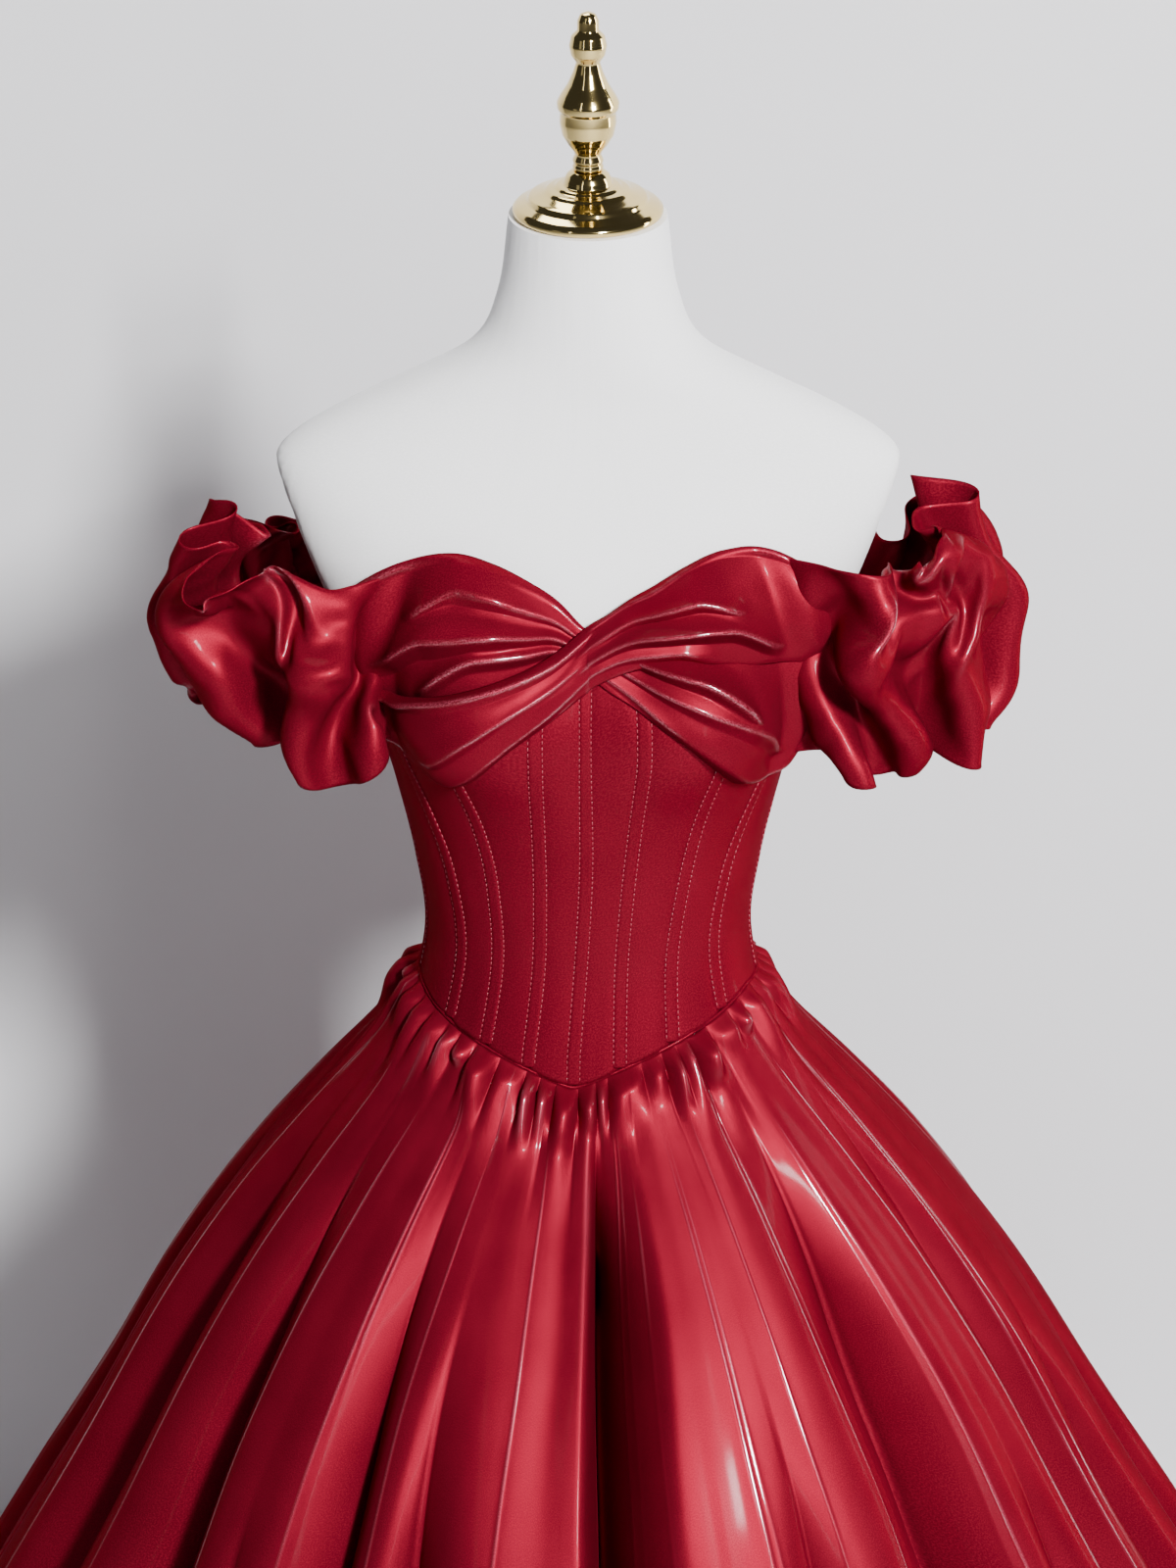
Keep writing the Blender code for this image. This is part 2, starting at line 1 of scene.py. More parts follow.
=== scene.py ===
# %% [markdown]
# # A satin ball gown on a dress form
#
# The gown is glossy crimson satin: a boned bodice, a twisted bust drape, ruffled sleeves that sit off
# the shoulder, and a full gathered skirt. It stands on a white limbless form with a gold neck cap.
#
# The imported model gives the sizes. Its solids are plain, so this script lays finer cloth over them and
# gives every surface its finish. We begin by loading it, and keep its box to compare sizes at the end.

import math
from collections import namedtuple

import bmesh
import bpy
from mathutils import Matrix, Vector, noise


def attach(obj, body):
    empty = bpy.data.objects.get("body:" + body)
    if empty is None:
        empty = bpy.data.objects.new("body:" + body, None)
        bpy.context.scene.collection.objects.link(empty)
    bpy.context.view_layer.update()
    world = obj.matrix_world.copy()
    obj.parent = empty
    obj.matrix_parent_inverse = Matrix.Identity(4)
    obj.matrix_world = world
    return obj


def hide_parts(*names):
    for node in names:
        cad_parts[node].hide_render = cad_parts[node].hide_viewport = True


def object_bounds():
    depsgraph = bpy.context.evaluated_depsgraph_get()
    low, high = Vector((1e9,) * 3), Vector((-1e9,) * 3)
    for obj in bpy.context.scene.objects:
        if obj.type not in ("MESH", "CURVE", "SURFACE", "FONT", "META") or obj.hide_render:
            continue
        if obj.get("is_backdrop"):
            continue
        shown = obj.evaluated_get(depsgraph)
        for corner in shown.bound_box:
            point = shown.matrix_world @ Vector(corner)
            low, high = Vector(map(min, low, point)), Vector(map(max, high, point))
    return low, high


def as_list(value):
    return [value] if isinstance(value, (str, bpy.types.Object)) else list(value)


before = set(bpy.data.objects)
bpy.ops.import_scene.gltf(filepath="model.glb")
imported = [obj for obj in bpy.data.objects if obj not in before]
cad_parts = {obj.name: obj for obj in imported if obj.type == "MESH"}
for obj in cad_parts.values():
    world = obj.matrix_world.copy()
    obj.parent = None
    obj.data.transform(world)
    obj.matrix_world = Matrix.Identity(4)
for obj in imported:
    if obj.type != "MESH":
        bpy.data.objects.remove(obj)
solid_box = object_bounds()
print("nodes", len(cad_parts), "box", [round(x, 3) for corner in solid_box for x in corner])

# %% [markdown]
# ## Camera, floor and light
#
# The view looks down on the bust by 22 degrees from 2.4 m. A vertical sensor fit keeps the height of
# the picture the same whatever its shape, so the lens can be worked out from the picture's height.

# %% Camera
VIEW_DOWN = math.radians(22.0)
VIEW_DISTANCE = 2.4
VIEW_AIM = 1.142
SENSOR_HEIGHT = 24.0
LENS_PER_SENSOR = 3668 / 1600

camera_data = bpy.data.cameras.new("camera")
camera_data.sensor_fit = "VERTICAL"
camera_data.sensor_height = SENSOR_HEIGHT
camera_data.lens = SENSOR_HEIGHT * LENS_PER_SENSOR
camera = bpy.data.objects.new("camera", camera_data)
camera.location = (
    0,
    -VIEW_DISTANCE * math.cos(VIEW_DOWN),
    VIEW_AIM + VIEW_DISTANCE * math.sin(VIEW_DOWN),
)
camera.rotation_euler = (math.radians(90) - VIEW_DOWN, 0, 0)
bpy.context.scene.collection.objects.link(camera)
bpy.context.scene.camera = camera
print("lens", round(camera_data.lens, 2), "mm")

# %% [markdown]
# Satin is read from its reflections. A small bright key light at the front right draws crisp lines on
# the folds and the form's shadow on the wall. Tall narrow lights add long sheens. The left gets little,
# so that side of the skirt stays deep, as in a room with one window. The floor has a light of its own.


# %% Lights
def soft_light(name, place, aim, width, height, power, color=(1, 1, 1)):
    """A rectangular light that faces a point."""
    data = bpy.data.lights.new(name, "AREA")
    data.shape = "RECTANGLE"
    data.size = width
    data.size_y = height
    data.energy = power
    data.color = color
    light = bpy.data.objects.new(name, data)
    light.location = place
    light.rotation_euler = (Vector(aim) - Vector(place)).to_track_quat("-Z", "Y").to_euler()
    bpy.context.scene.collection.objects.link(light)
    return light


BUST = (0, 0, 1.2)
SKIRT = (0.1, -0.2, 0.5)
soft_light("key_light", (1.25, -3.0, 3.0), BUST, 0.35, 0.45, 350)
soft_light("fill_light", (-2.6, -2.4, 1.9), BUST, 0.8, 1.4, 1.2)
soft_light("edge_light", (2.7, 0.4, 1.5), SKIRT, 0.3, 2.4, 42)
soft_light("top_light", (-0.3, 0.9, 3.4), BUST, 1.0, 0.7, 20)
soft_light("strip_light_right", (0.95, -2.9, 2.1), SKIRT, 0.16, 2.6, 36)
soft_light("strip_light_left", (-1.3, -2.6, 2.0), SKIRT, 0.08, 2.4, 4)
floor_light = soft_light("floor_light", (2.6, 6.0, 4.2), (2.6, 6.0, 0), 6.0, 6.0, 760)
floor_light.visible_glossy = False
print("lights", len(bpy.data.lights))

world = bpy.data.worlds.new("studio")
world.use_nodes = True
background = world.node_tree.nodes["Background"]
background.inputs["Color"].default_value = (0.80, 0.80, 0.83, 1)
background.inputs["Strength"].default_value = 0.06
bpy.context.scene.world = world

# %% [markdown]
# ## Finishes
#
# A material here is a small network of nodes. Effects that several finishes share are node groups:
# they are built once, have named inputs, and each material sets its own values.


# %% Node helpers
def set_inputs(tree, node, inputs):
    """Gives each input a value, or a link where it is given another node's output."""
    for key, value in inputs.items():
        if isinstance(value, bpy.types.NodeSocket):
            tree.links.new(value, node.inputs[key])
        else:
            node.inputs[key].default_value = value


def add_node(tree, kind, inputs=None, **settings):
    """Adds a node and returns its outputs."""
    node = tree.nodes.new(kind)
    for key, value in settings.items():
        setattr(node, key, value)
    set_inputs(tree, node, inputs or {})
    return node.outputs


def maths(tree, operation, *values):
    return add_node(tree, "ShaderNodeMath", dict(enumerate(values)), operation=operation)[0]


def remap(tree, value, start=(0.0, 1.0), end=(0.0, 1.0)):
    """Carries a value from one range to another."""
    ends = {"From Min": start[0], "From Max": start[1], "To Min": end[0], "To Max": end[1]}
    return add_node(tree, "ShaderNodeMapRange", {"Value": value, **ends})["Result"]


def mottle(tree, vector, scale, detail, **others):
    """Soft noise from 0 to 1."""
    inputs = {"Vector": vector, "Scale": scale, "Detail": detail, **others}
    return add_node(tree, "ShaderNodeTexNoise", inputs)["Fac"]


def mix_colors(tree, share, one, other):
    inputs = {"Factor": share, "A": one, "B": other}
    return add_node(tree, "ShaderNodeMix", inputs, data_type="RGBA")["Result"]


def new_material(name):
    material = bpy.data.materials.new(name)
    material.use_nodes = True
    return material, material.node_tree, material.node_tree.nodes["Principled BSDF"]


def new_group(name, inputs, outputs):
    """An empty shader group. An input with a number is a value, and one with None is a vector."""
    group = bpy.data.node_groups.new(name, "ShaderNodeTree")
    for key, value in inputs.items():
        kind = "NodeSocketVector" if value is None else "NodeSocketFloat"
        socket = group.interface.new_socket(key, in_out="INPUT", socket_type=kind)
        if value is not None:
            socket.default_value = value
    for key in outputs:
        group.interface.new_socket(key, in_out="OUTPUT", socket_type="NodeSocketFloat")
    return group, group.nodes.new("NodeGroupInput").outputs, group.nodes.new("NodeGroupOutput")


# %% [markdown]
# The weave group makes cloth grain. It reads a map laid out in metres, so the threads keep one size on
# every piece. Two crossed waves are the threads, and a fine noise breaks them up as real yarn does.


# %% Weave group
THREAD_DEPTH = 0.35
SPECKLE_RANGE = (0.42, 0.68)


def build_weave():
    inputs = {"Vector": None, "Threads": 1500.0, "Grain": 900.0}
    group, given, end = new_group("weave", inputs, ("Height", "Speckle"))
    wave = {"Distortion": 0.6, "Vector": given["Vector"], "Scale": given["Threads"]}
    waves = [add_node(group, "ShaderNodeTexWave", wave, bands_direction=way)["Fac"] for way in "XY"]
    grain = mottle(group, given["Vector"], given["Grain"], 2.0, Roughness=0.7)
    height = maths(group, "MULTIPLY_ADD", maths(group, "MULTIPLY", *waves), THREAD_DEPTH, grain)
    set_inputs(group, end, {"Height": height, "Speckle": remap(group, grain, SPECKLE_RANGE)})
    return group


WEAVE = build_weave()
print("weave nodes", len(WEAVE.nodes))

# %% [markdown]
# Cloth is never quite one colour or one gloss. The handling group gives slow patches, from centimetres
# to a hand's breadth, and long faint ripples that follow the fall of the cloth.


# %% Handling group
def build_handling():
    inputs = {"Vector": None, "Size": 14.0, "Stretch": 0.2}
    group, given, end = new_group("handling", inputs, ("Patches", "Ripple"))
    patches = mottle(group, given["Vector"], given["Size"], 3.0)
    split = add_node(group, "ShaderNodeSeparateXYZ", {0: given["Vector"]})
    shorter = maths(group, "MULTIPLY", split["Y"], given["Stretch"])
    drawn_out = add_node(group, "ShaderNodeCombineXYZ", {"X": split["X"], "Y": shorter})[0]
    ripple = mottle(group, drawn_out, 55.0, 2.0, Distortion=0.4)
    set_inputs(group, end, {"Patches": patches, "Ripple": ripple})
    return group


HANDLING = build_handling()
print("handling nodes", len(HANDLING.nodes))

# %% [markdown]
# Satin has long floating threads on its face. They give it two glosses at once: a soft one that spreads
# over a fold and takes the cloth's own colour, half metallic here, and a hard one, the coat, that is
# nearly a mirror. The coat shows on the crests of the folds, which each piece stores as an attribute.
# A paler colour is laid on the crests too, as a painted highlight. Constant values sit on the shader's own
# sockets.


# %% Satin
# A painted highlight: the paler colour mixed into the satin on the crests of folds, and how much of it.
CREST_HIGHLIGHT_COLOR = (0.60, 0.10, 0.17, 1)
CREST_HIGHLIGHT_SHARE = 0.6
PATCH_SHARE = 0.45
SPECKLE_SHARE = 0.55
SPARK_RANGE = (0.45, 1.0)
COAT_VALUES = {"Coat Roughness": 0.10, "Coat IOR": 2.1}
WEAVE_BUMP = {"Strength": 0.35, "Distance": 0.00012}


def cloth_finish(name, deep, bright, roughness, coat=None, ripple=0.0, mapped=True, values=None):
    """Woven cloth: its two colours, the ranges of its roughness and coat, and its shader's own values."""
    material, tree, shader = new_material(name)
    if mapped:
        place = add_node(tree, "ShaderNodeUVMap", uv_map="UVMap")["UV"]
    else:
        place = add_node(tree, "ShaderNodeTexCoord")["Object"]
    weave = add_node(tree, "ShaderNodeGroup", {"Vector": place}, node_tree=WEAVE)
    handling = add_node(tree, "ShaderNodeGroup", {"Vector": place}, node_tree=HANDLING)
    speckle = weave["Speckle"]
    fine = maths(tree, "MULTIPLY", speckle, SPECKLE_SHARE)
    blend = maths(tree, "MULTIPLY_ADD", handling["Patches"], PATCH_SHARE, fine)
    color = mix_colors(tree, blend, (*deep, 1), (*bright, 1))
    if coat:
        crest = add_node(tree, "ShaderNodeAttribute", attribute_name="crest")["Fac"]
        # The crests get a paler colour, a painted highlight, broken up by the speckle.
        painted_highlight = maths(tree, "MULTIPLY", maths(tree, "MULTIPLY", crest, CREST_HIGHLIGHT_SHARE), speckle)
        color = mix_colors(tree, painted_highlight, color, CREST_HIGHLIGHT_COLOR)
        wet = maths(tree, "MULTIPLY", remap(tree, crest, end=coat), remap(tree, speckle, end=SPARK_RANGE))
        set_inputs(tree, shader, {"Coat Weight": wet, **COAT_VALUES})
    bump = {**WEAVE_BUMP, "Height": weave["Height"]}
    if ripple:
        wavy = {"Strength": 1.0, "Distance": ripple, "Height": handling["Ripple"]}
        bump["Normal"] = add_node(tree, "ShaderNodeBump", wavy)["Normal"]
    normal = add_node(tree, "ShaderNodeBump", bump)["Normal"]
    rough = remap(tree, blend, end=roughness)
    set_inputs(tree, shader, {"Base Color": color, "Roughness": rough, "Normal": normal, **(values or {})})
    return material


satin = cloth_finish(
    "crimson_satin", (0.090, 0.0021, 0.0078), (0.225, 0.0085, 0.0230), (0.36, 0.50), (0.012, 1.0), 0.00010,
    values={"Metallic": 0.50, "Specular IOR Level": 0.0, "Specular Tint": (0.34, 0.04, 0.11, 1)},
)
thread = cloth_finish(
    "crimson_thread", (0.17, 0.006, 0.016), (0.42, 0.04, 0.075), (0.3, 0.45), mapped=False
)
tape = cloth_finish(
    "crimson_zip_tape", (0.10, 0.0015, 0.005), (0.15, 0.004, 0.010), (0.6, 0.7),
    values={"Specular IOR Level": 0.1},
)
jersey = cloth_finish(
    "white_jersey", (0.76, 0.755, 0.765), (0.87, 0.865, 0.875), (0.78, 0.92), ripple=0.0003,
    values={"Sheen Weight": 0.25},
)
print("cloths", [cloth.name for cloth in (satin, thread, tape, jersey)])

# %% [markdown]
# The cap and finial are plated metal. Its roughness is low and only slightly uneven, where hands have
# left a faint haze, so the shapes are read from what they mirror. The same drift between two colours,
# slower and rougher, makes the pale floor and the wall.


# %% Gold
def mottled_finish(name, one, other, scale, detail):
    """A finish whose colour drifts between two. Returns its parts too, to be added to."""
    material, tree, shader = new_material(name)
    drift = mottle(tree, add_node(tree, "ShaderNodeTexCoord")["Object"], scale, detail)
    set_inputs(tree, shader, {"Base Color": mix_colors(tree, drift, (*one, 1), (*other, 1))})
    return material, tree, shader, drift


gold, tree, shader, drift = mottled_finish(
    "polished_gold", (0.70, 0.52, 0.19), (0.86, 0.67, 0.29), 60.0, 4.0
)
set_inputs(tree, shader, {"Metallic": 1.0, "Roughness": remap(tree, drift, end=(0.05, 0.14))})


# %% Floor
def new_object(name, mesh, material):
    """Makes a finished bmesh an object of the scene."""
    data = bpy.data.meshes.new(name)
    mesh.to_mesh(data)
    mesh.free()
    data.materials.append(material)
    piece = bpy.data.objects.new(name, data)
    bpy.context.scene.collection.objects.link(piece)
    return piece


def stage_quad(name, corners, material):
    """A flat surface that belongs to the studio and not to the object."""
    mesh = bmesh.new()
    mesh.faces.new([mesh.verts.new(corner) for corner in corners])
    new_object(name, mesh, material)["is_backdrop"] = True


FLOOR_HALF = 40.0
SQUARE = ((-1, -1), (1, -1), (1, 1), (-1, 1))
floor_paint, tree, shader, _ = mottled_finish("pale_floor", (0.56, 0.56, 0.58), (0.62, 0.62, 0.64), 1.2, 4.0)
set_inputs(tree, shader, {"Roughness": 0.7})
stage_quad("floor", [(FLOOR_HALF * x, FLOOR_HALF * y, 0) for x, y in SQUARE], floor_paint)

# %% [markdown]
# A plain wall stands close behind the skirt and catches the form's shadow. It shows only from the front,
# so a view from behind still sees the back of the gown.

# %% Backdrop
WALL_PLACE = 0.86
WALL_HALF = 3.5
WALL_HEIGHT = 2.6
wall_paint, tree, shader, _ = mottled_finish("plain_wall", (0.74, 0.735, 0.76), (0.80, 0.795, 0.82), 0.9, 5.0)
from_front = maths(tree, "SUBTRACT", 1.0, add_node(tree, "ShaderNodeNewGeometry")["Backfacing"])
set_inputs(tree, shader, {"Roughness": 0.8, "Alpha": from_front})
wall_corners = [(WALL_HALF * x, WALL_PLACE, WALL_HEIGHT * max(y, 0)) for x, y in SQUARE]
stage_quad("backdrop", wall_corners, wall_paint)
print("materials", len(bpy.data.materials), "groups", len(bpy.data.node_groups))

# %% [markdown]
# ## Sizes
#
# The cloth follows the same named sizes as the solids, so each piece lies where its solid does.
# Angles are degrees round the upright axis: 0 is the front and positive angles turn to the wearer's left.

# %% Tables of the form
def table(columns, *rows):
    """Rows whose numbers can be read by name."""
    Row = namedtuple("Row", columns)
    return [Row(*row) for row in rows]


FORM_SECTIONS = table(
    "height half_width front back squareness",
    (0.8, 0.138, 0.094, 0.106, 2.2), (0.86, 0.153, 0.1, 0.118, 2.2), (0.92, 0.142, 0.097, 0.11, 2.2),
    (0.98, 0.119, 0.09, 0.094, 2.2), (1.045, 0.105, 0.083, 0.08, 2.1), (1.1, 0.111, 0.089, 0.085, 2.1),
    (1.15, 0.122, 0.098, 0.093, 2.1), (1.205, 0.138, 0.106, 0.1, 2.1), (1.25, 0.156, 0.102, 0.102, 2.2),
    (1.3, 0.183, 0.088, 0.103, 2.2), (1.336, 0.198, 0.074, 0.098, 2.2), (1.366, 0.204, 0.06, 0.086, 2.2),
    (1.383, 0.192, 0.053, 0.076, 2.2), (1.404, 0.158, 0.048, 0.067, 2.1), (1.419, 0.126, 0.046, 0.062, 2.1),
    (1.445, 0.076, 0.047, 0.057, 2.0), (1.477, 0.058, 0.048, 0.053, 2.0), (1.528, 0.05, 0.049, 0.049, 2.0),
)
BUST_ANGLE = 34.0
BUST_SPREAD = 21.0
BUST_HEIGHT = 1.212
BUST_RISE = 0.045
BUST_DEPTH = 0.015
ARM_PLATE_SLOPE = 0.36
ARM_PLATE_HALF_WIDTH = 0.199
ARM_PLATE_HEIGHT = 1.366
ARM_PLATE_ROUNDING = 0.004
NECK_TOP = FORM_SECTIONS[-1].height
NECK_TILT = math.radians(7.0)
NECK_TILT_START = 1.46


# %% Reading the tables
def mix(start, end, share):
    return start + (end - start) * share


def ease(share):
    """0 to 1 with level ends."""
    share = min(max(share, 0.0), 1.0)
    return share * share * (3 - 2 * share)


def read(rows, key, column):
    """A smooth curve through one column of a table, read at a value of the table's first column."""
    if key <= rows[0][0]:
        return getattr(rows[0], column)
    if key >= rows[-1][0]:
        return getattr(rows[-1], column)
    i = 0
    while rows[i + 1][0] < key:
        i += 1
    low, high = rows[max(i - 1, 0)], rows[min(i + 2, len(rows) - 1)]
    here, there = rows[i], rows[i + 1]
    a, b = getattr(here, column), getattr(there, column)
    span = there[0] - here[0]
    t = (key - here[0]) / span
    start = (b - getattr(low, column)) / (there[0] - low[0]) * span
    end = (getattr(high, column) - a) / (high[0] - here[0]) * span
    rise = b - a
    return a + t * start + t * t * (3 * rise - 2 * start - end) + t**3 * (start + end - 2 * rise)


def form_point(angle, height):
    """The dress form's surface at an angle and a height."""
    half_width = read(FORM_SECTIONS, height, "half_width")
    power = read(FORM_SECTIONS, height, "squareness")
    turn = math.radians(angle)
    across, ahead = math.sin(turn), math.cos(turn)
    depth = read(FORM_SECTIONS, height, "front" if ahead > 0 else "back")
    radius = (abs(across / half_width) ** power + abs(ahead / depth) ** power) ** (-1 / power)
    away = min(abs(angle - BUST_ANGLE), abs(angle + BUST_ANGLE)) / BUST_SPREAD
    rise = (height - BUST_HEIGHT) / BUST_RISE
    radius += BUST_DEPTH * math.exp(-away * away - rise * rise)
    x, y = radius * across, -radius * ahead
    plate = ARM_PLATE_HALF_WIDTH - ARM_PLATE_SLOPE * (ARM_PLATE_HEIGHT - height)
    over = (abs(x) - plate) / ARM_PLATE_ROUNDING
    if height > BUST_HEIGHT and over > -1:
        rounded = 1 - (1 - over) ** 2 / 4 if over < 1 else 1
        kept = plate + ARM_PLATE_ROUNDING * rounded - ARM_PLATE_ROUNDING
        x = math.copysign(min(abs(x), kept), x)
    tilt = math.tan(NECK_TILT) * ease((height - NECK_TILT_START) / (NECK_TOP - NECK_TILT_START))
    return Vector((x, y, height + y * tilt))


STEP = 1e-4


def off_form(angle, height, out):
    """A point that stands out from the form, square to its surface."""
    here = form_point(angle, height)
    round_it = form_point(angle + 0.5, height) - form_point(angle - 0.5, height)
    up = form_point(angle, height + STEP) - form_point(angle, height - STEP)
    return here + round_it.cross(up).normalized() * out


def reach(angle, height):
    """How far the form's surface is from the upright axis."""
    point = form_point(angle, height)
    return math.hypot(point.x, point.y)


print("bust at", [round(x, 3) for x in off_form(BUST_ANGLE, BUST_HEIGHT, 0)])

# %% [markdown]
# Every piece of cloth here starts as a flat grid. The grid's own x and y, from 0 to 1, say how far along
# and how far up the cloth a point is, and a formula carries it to its place. A map in metres goes with
# it, so the weave runs true. Solidify then gives the sheet its thickness.


# %% Piece helpers
def add_piece(name, mesh, material, wall=0.0, replaces=(), keenness=1.0):
    """A named piece from a bmesh, riding on the one body."""
    if material is satin:
        mark_crests(mesh, keenness)
    piece = new_object(name, mesh, material)
    piece.data.shade_smooth()
    if wall:
        thick = piece.modifiers.new("wall", "SOLIDIFY")
        thick.thickness = wall
        thick.offset = 1.0
    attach(piece, "root")
    if replaces:
        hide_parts(*replaces)
    return piece


# Bends per metre where a crest starts to show and where it is full, the share that a neighbour takes
# on, and how often per metre a crest fades out.
CREST_FROM = 170.0
CREST_FULL = 620.0
CREST_SPREAD = 0.45
CREST_FADES = 8.0
TINY = 1e-6


def mark_crests(mesh, keenness, both_ways=False):
    """Stores how sharply the cloth bends at each point, as the attribute that the satin reads."""
    layer = mesh.verts.layers.float.get("crest") or mesh.verts.layers.float.new("crest")
    bends = [0.0] * len(mesh.verts)
    mesh.verts.index_update()
    mesh.normal_update()
    for edge in mesh.edges:
        if len(edge.link_faces) != 2:
            continue
        turn = edge.calc_face_angle_signed(0.0)
        turn = abs(turn) if both_ways else turn
        if turn <= 0:
            continue
        area = edge.link_faces[0].calc_area() + edge.link_faces[1].calc_area()
        width = area / 2 / max(edge.calc_length(), TINY)
        bend = keenness * turn / max(width, TINY)
        for vertex in edge.verts:
            bends[vertex.index] = max(bends[vertex.index], bend)
    crests = [ease((bend - CREST_FROM) / (CREST_FULL - CREST_FROM)) for bend in bends]
    wider = crests[:]
    for edge in mesh.edges:
        a, b = edge.verts[0].index, edge.verts[1].index
        wider[a] = max(wider[a], CREST_SPREAD * crests[b])
        wider[b] = max(wider[b], CREST_SPREAD * crests[a])
    for vertex in mesh.verts:
        fade = 0.80 + 1.1 * grain_at(*(vertex.co * CREST_FADES))
        vertex[layer] = wider[vertex.index] * min(max(fade, 0.05), 1.0)


def sheet_mesh(columns, rows, place, width, height):
    """A grid carried to its place by place(u, v), with its map in metres."""
    mesh = bmesh.new()
    layer = mesh.loops.layers.uv.new("UVMap")
    bmesh.ops.create_grid(mesh, x_segments=columns, y_segments=rows, size=0.5, calc_uvs=True)
    for face in mesh.faces:
        for loop in face.loops:
            loop[layer].uv = ((loop.vert.co.x + 0.5) * width, (loop.vert.co.y + 0.5) * height)
    for vertex in mesh.verts:
        vertex.co = place(vertex.co.x + 0.5, vertex.co.y + 0.5)
    return mesh


SHARE_SHOWN = 0.35


def declare_cloth(piece, width, length, held, rests_on):
    """Gives the size that the cloth was cut to, or a length from its measured area where the named one
    would leave too little or too much of it to show."""
    area = sum(face.area for face in piece.data.polygons)
    if not SHARE_SHOWN < area / (width * length) < 1:
        length = area / width
    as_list(rests_on)
    print(f"{piece.name}: {area * 1e4:.0f} cm2, cut {width:.3f} x {length:.3f} m")


def lay_cloth(name, columns, rows, place, size, wall, cut, held, keenness=1.0):
    """A satin sheet over the solid of that name: its map's size, its thickness and its cut, in metres."""
    mesh = sheet_mesh(columns, rows, place, *size)
    piece = add_piece(f"{name}_cloth", mesh, satin, wall, [name], keenness)
    declare_cloth(piece, *cut, held, ["dress_form"])


def grain_at(*place):
    """Smooth noise from -1 to 1, the same on every run."""
    return noise.noise(Vector(place))


# %% [markdown]
# ## The dress form
#
# The form is a padded shell with a stretched jersey cover. A grid wrapped round the sections makes it.
# Its ends meet in one seam at the back, which is merged, and its top and bottom are filled.


# %% Form cover
FORM_COLUMNS = 180
FORM_ROWS = 150
FORM_GIRTH = 0.75


def form_cover():
    low, high = FORM_SECTIONS[0].height, NECK_TOP

    def place(u, v):
        return form_point(360 * u - 180, mix(low, high, v))

    mesh = sheet_mesh(FORM_COLUMNS, FORM_ROWS, place, FORM_GIRTH, high - low)
    bmesh.ops.remove_doubles(mesh, verts=mesh.verts[:], dist=TINY)
    rims = [edge for edge in mesh.edges if edge.is_boundary]
    bmesh.ops.holes_fill(mesh, edges=rims, sides=FORM_COLUMNS)
    bmesh.ops.recalc_face_normals(mesh, faces=mesh.faces[:])
    piece = add_piece("form_cover", mesh, jersey, replaces=["dress_form"])
    piece.data.set_sharp_from_angle(angle=math.radians(50))
    return piece


form = form_cover()
print("form triangles", len(form.data.polygons) * 2)

# %% [markdown]
# ## The turned metal
#
# The cap and finial are turned on a lathe. A lathe is the spin operator: a half outline of a few points
# is turned a full circle. Bevelling the outline's corners first gives the soft edges of polished metal.

# %% Outlines
CAP_OUTLINE = table(
    "radius height",
    (0.0455, 0.0), (0.0475, 0.0015), (0.0475, 0.0042), (0.045, 0.0065), (0.0385, 0.009), (0.037, 0.012),
    (0.033, 0.0132), (0.028, 0.015), (0.0255, 0.0168), (0.0215, 0.0176), (0.0195, 0.0192), (0.0155, 0.0196),
    (0.015, 0.0225), (0.0132, 0.026), (0.01, 0.0282),
)
FINIAL_OUTLINE = table(
    "radius height",
    (0.009, 0.0), (0.0099, 0.0022), (0.009, 0.0042), (0.0099, 0.0064), (0.0082, 0.01), (0.009, 0.0122),
    (0.0125, 0.0167), (0.0162, 0.023), (0.0178, 0.031), (0.0174, 0.0378), (0.0192, 0.0398), (0.0194, 0.044),
    (0.0168, 0.0488), (0.0128, 0.055), (0.0092, 0.0632), (0.0074, 0.069), (0.0106, 0.0735),
    (0.0118, 0.0795), (0.0104, 0.0855), (0.0067, 0.089), (0.0067, 0.095), (0.0048, 0.099),
)
FINIAL_TIP = 0.1008
METAL_GAP = 0.0004
BASE_RADIUS = 0.170
BASE_THICKNESS = 0.014
BASE_OUTLINE = table(
    "radius height",
    (BASE_RADIUS - 0.003, 0.0), (BASE_RADIUS, 0.003), (BASE_RADIUS, 0.008),
    (BASE_RADIUS - 0.012, BASE_THICKNESS), (0.045, BASE_THICKNESS + 0.008), (0.026, BASE_THICKNESS + 0.018),
    (0.022, BASE_THICKNESS + 0.034),
)
POLE_RADIUS = 0.0125
FLANGE_RADIUS = 0.050
FLANGE_THICKNESS = 0.008


# %% Lathe
def turned(name, outline, sides, place, replaces, tip=None, rounding=0.0008):
    """A turned piece: the outline's corners are rounded, then it is spun and moved to its place."""
    mesh = bmesh.new()
    top = outline[-1].height if tip is None else tip
    points = [(0, outline[0].height), *outline, (0, top)]
    corners = [mesh.verts.new((radius, 0, height)) for radius, height in points]
    for low, high in zip(corners, corners[1:]):
        mesh.edges.new((low, high))
    bmesh.ops.bevel(
        mesh, geom=corners[1:-1], affect="VERTICES", offset=rounding, segments=3, profile=0.5, material=-1
    )
    line = mesh.verts[:] + mesh.edges[:]
    bmesh.ops.spin(
        mesh, geom=line, cent=(0, 0, 0), axis=(0, 0, 1), angle=math.tau, steps=sides, use_merge=True
    )
    bmesh.ops.remove_doubles(mesh, verts=mesh.verts[:], dist=TINY)
    bmesh.ops.recalc_face_normals(mesh, faces=mesh.faces[:])
    bmesh.ops.transform(mesh, matrix=place, verts=mesh.verts[:])
    piece = add_piece(name, mesh, gold, replaces=replaces)
    piece.data.set_sharp_from_angle(angle=math.radians(60))
    print(name, len(piece.data.polygons), "faces")


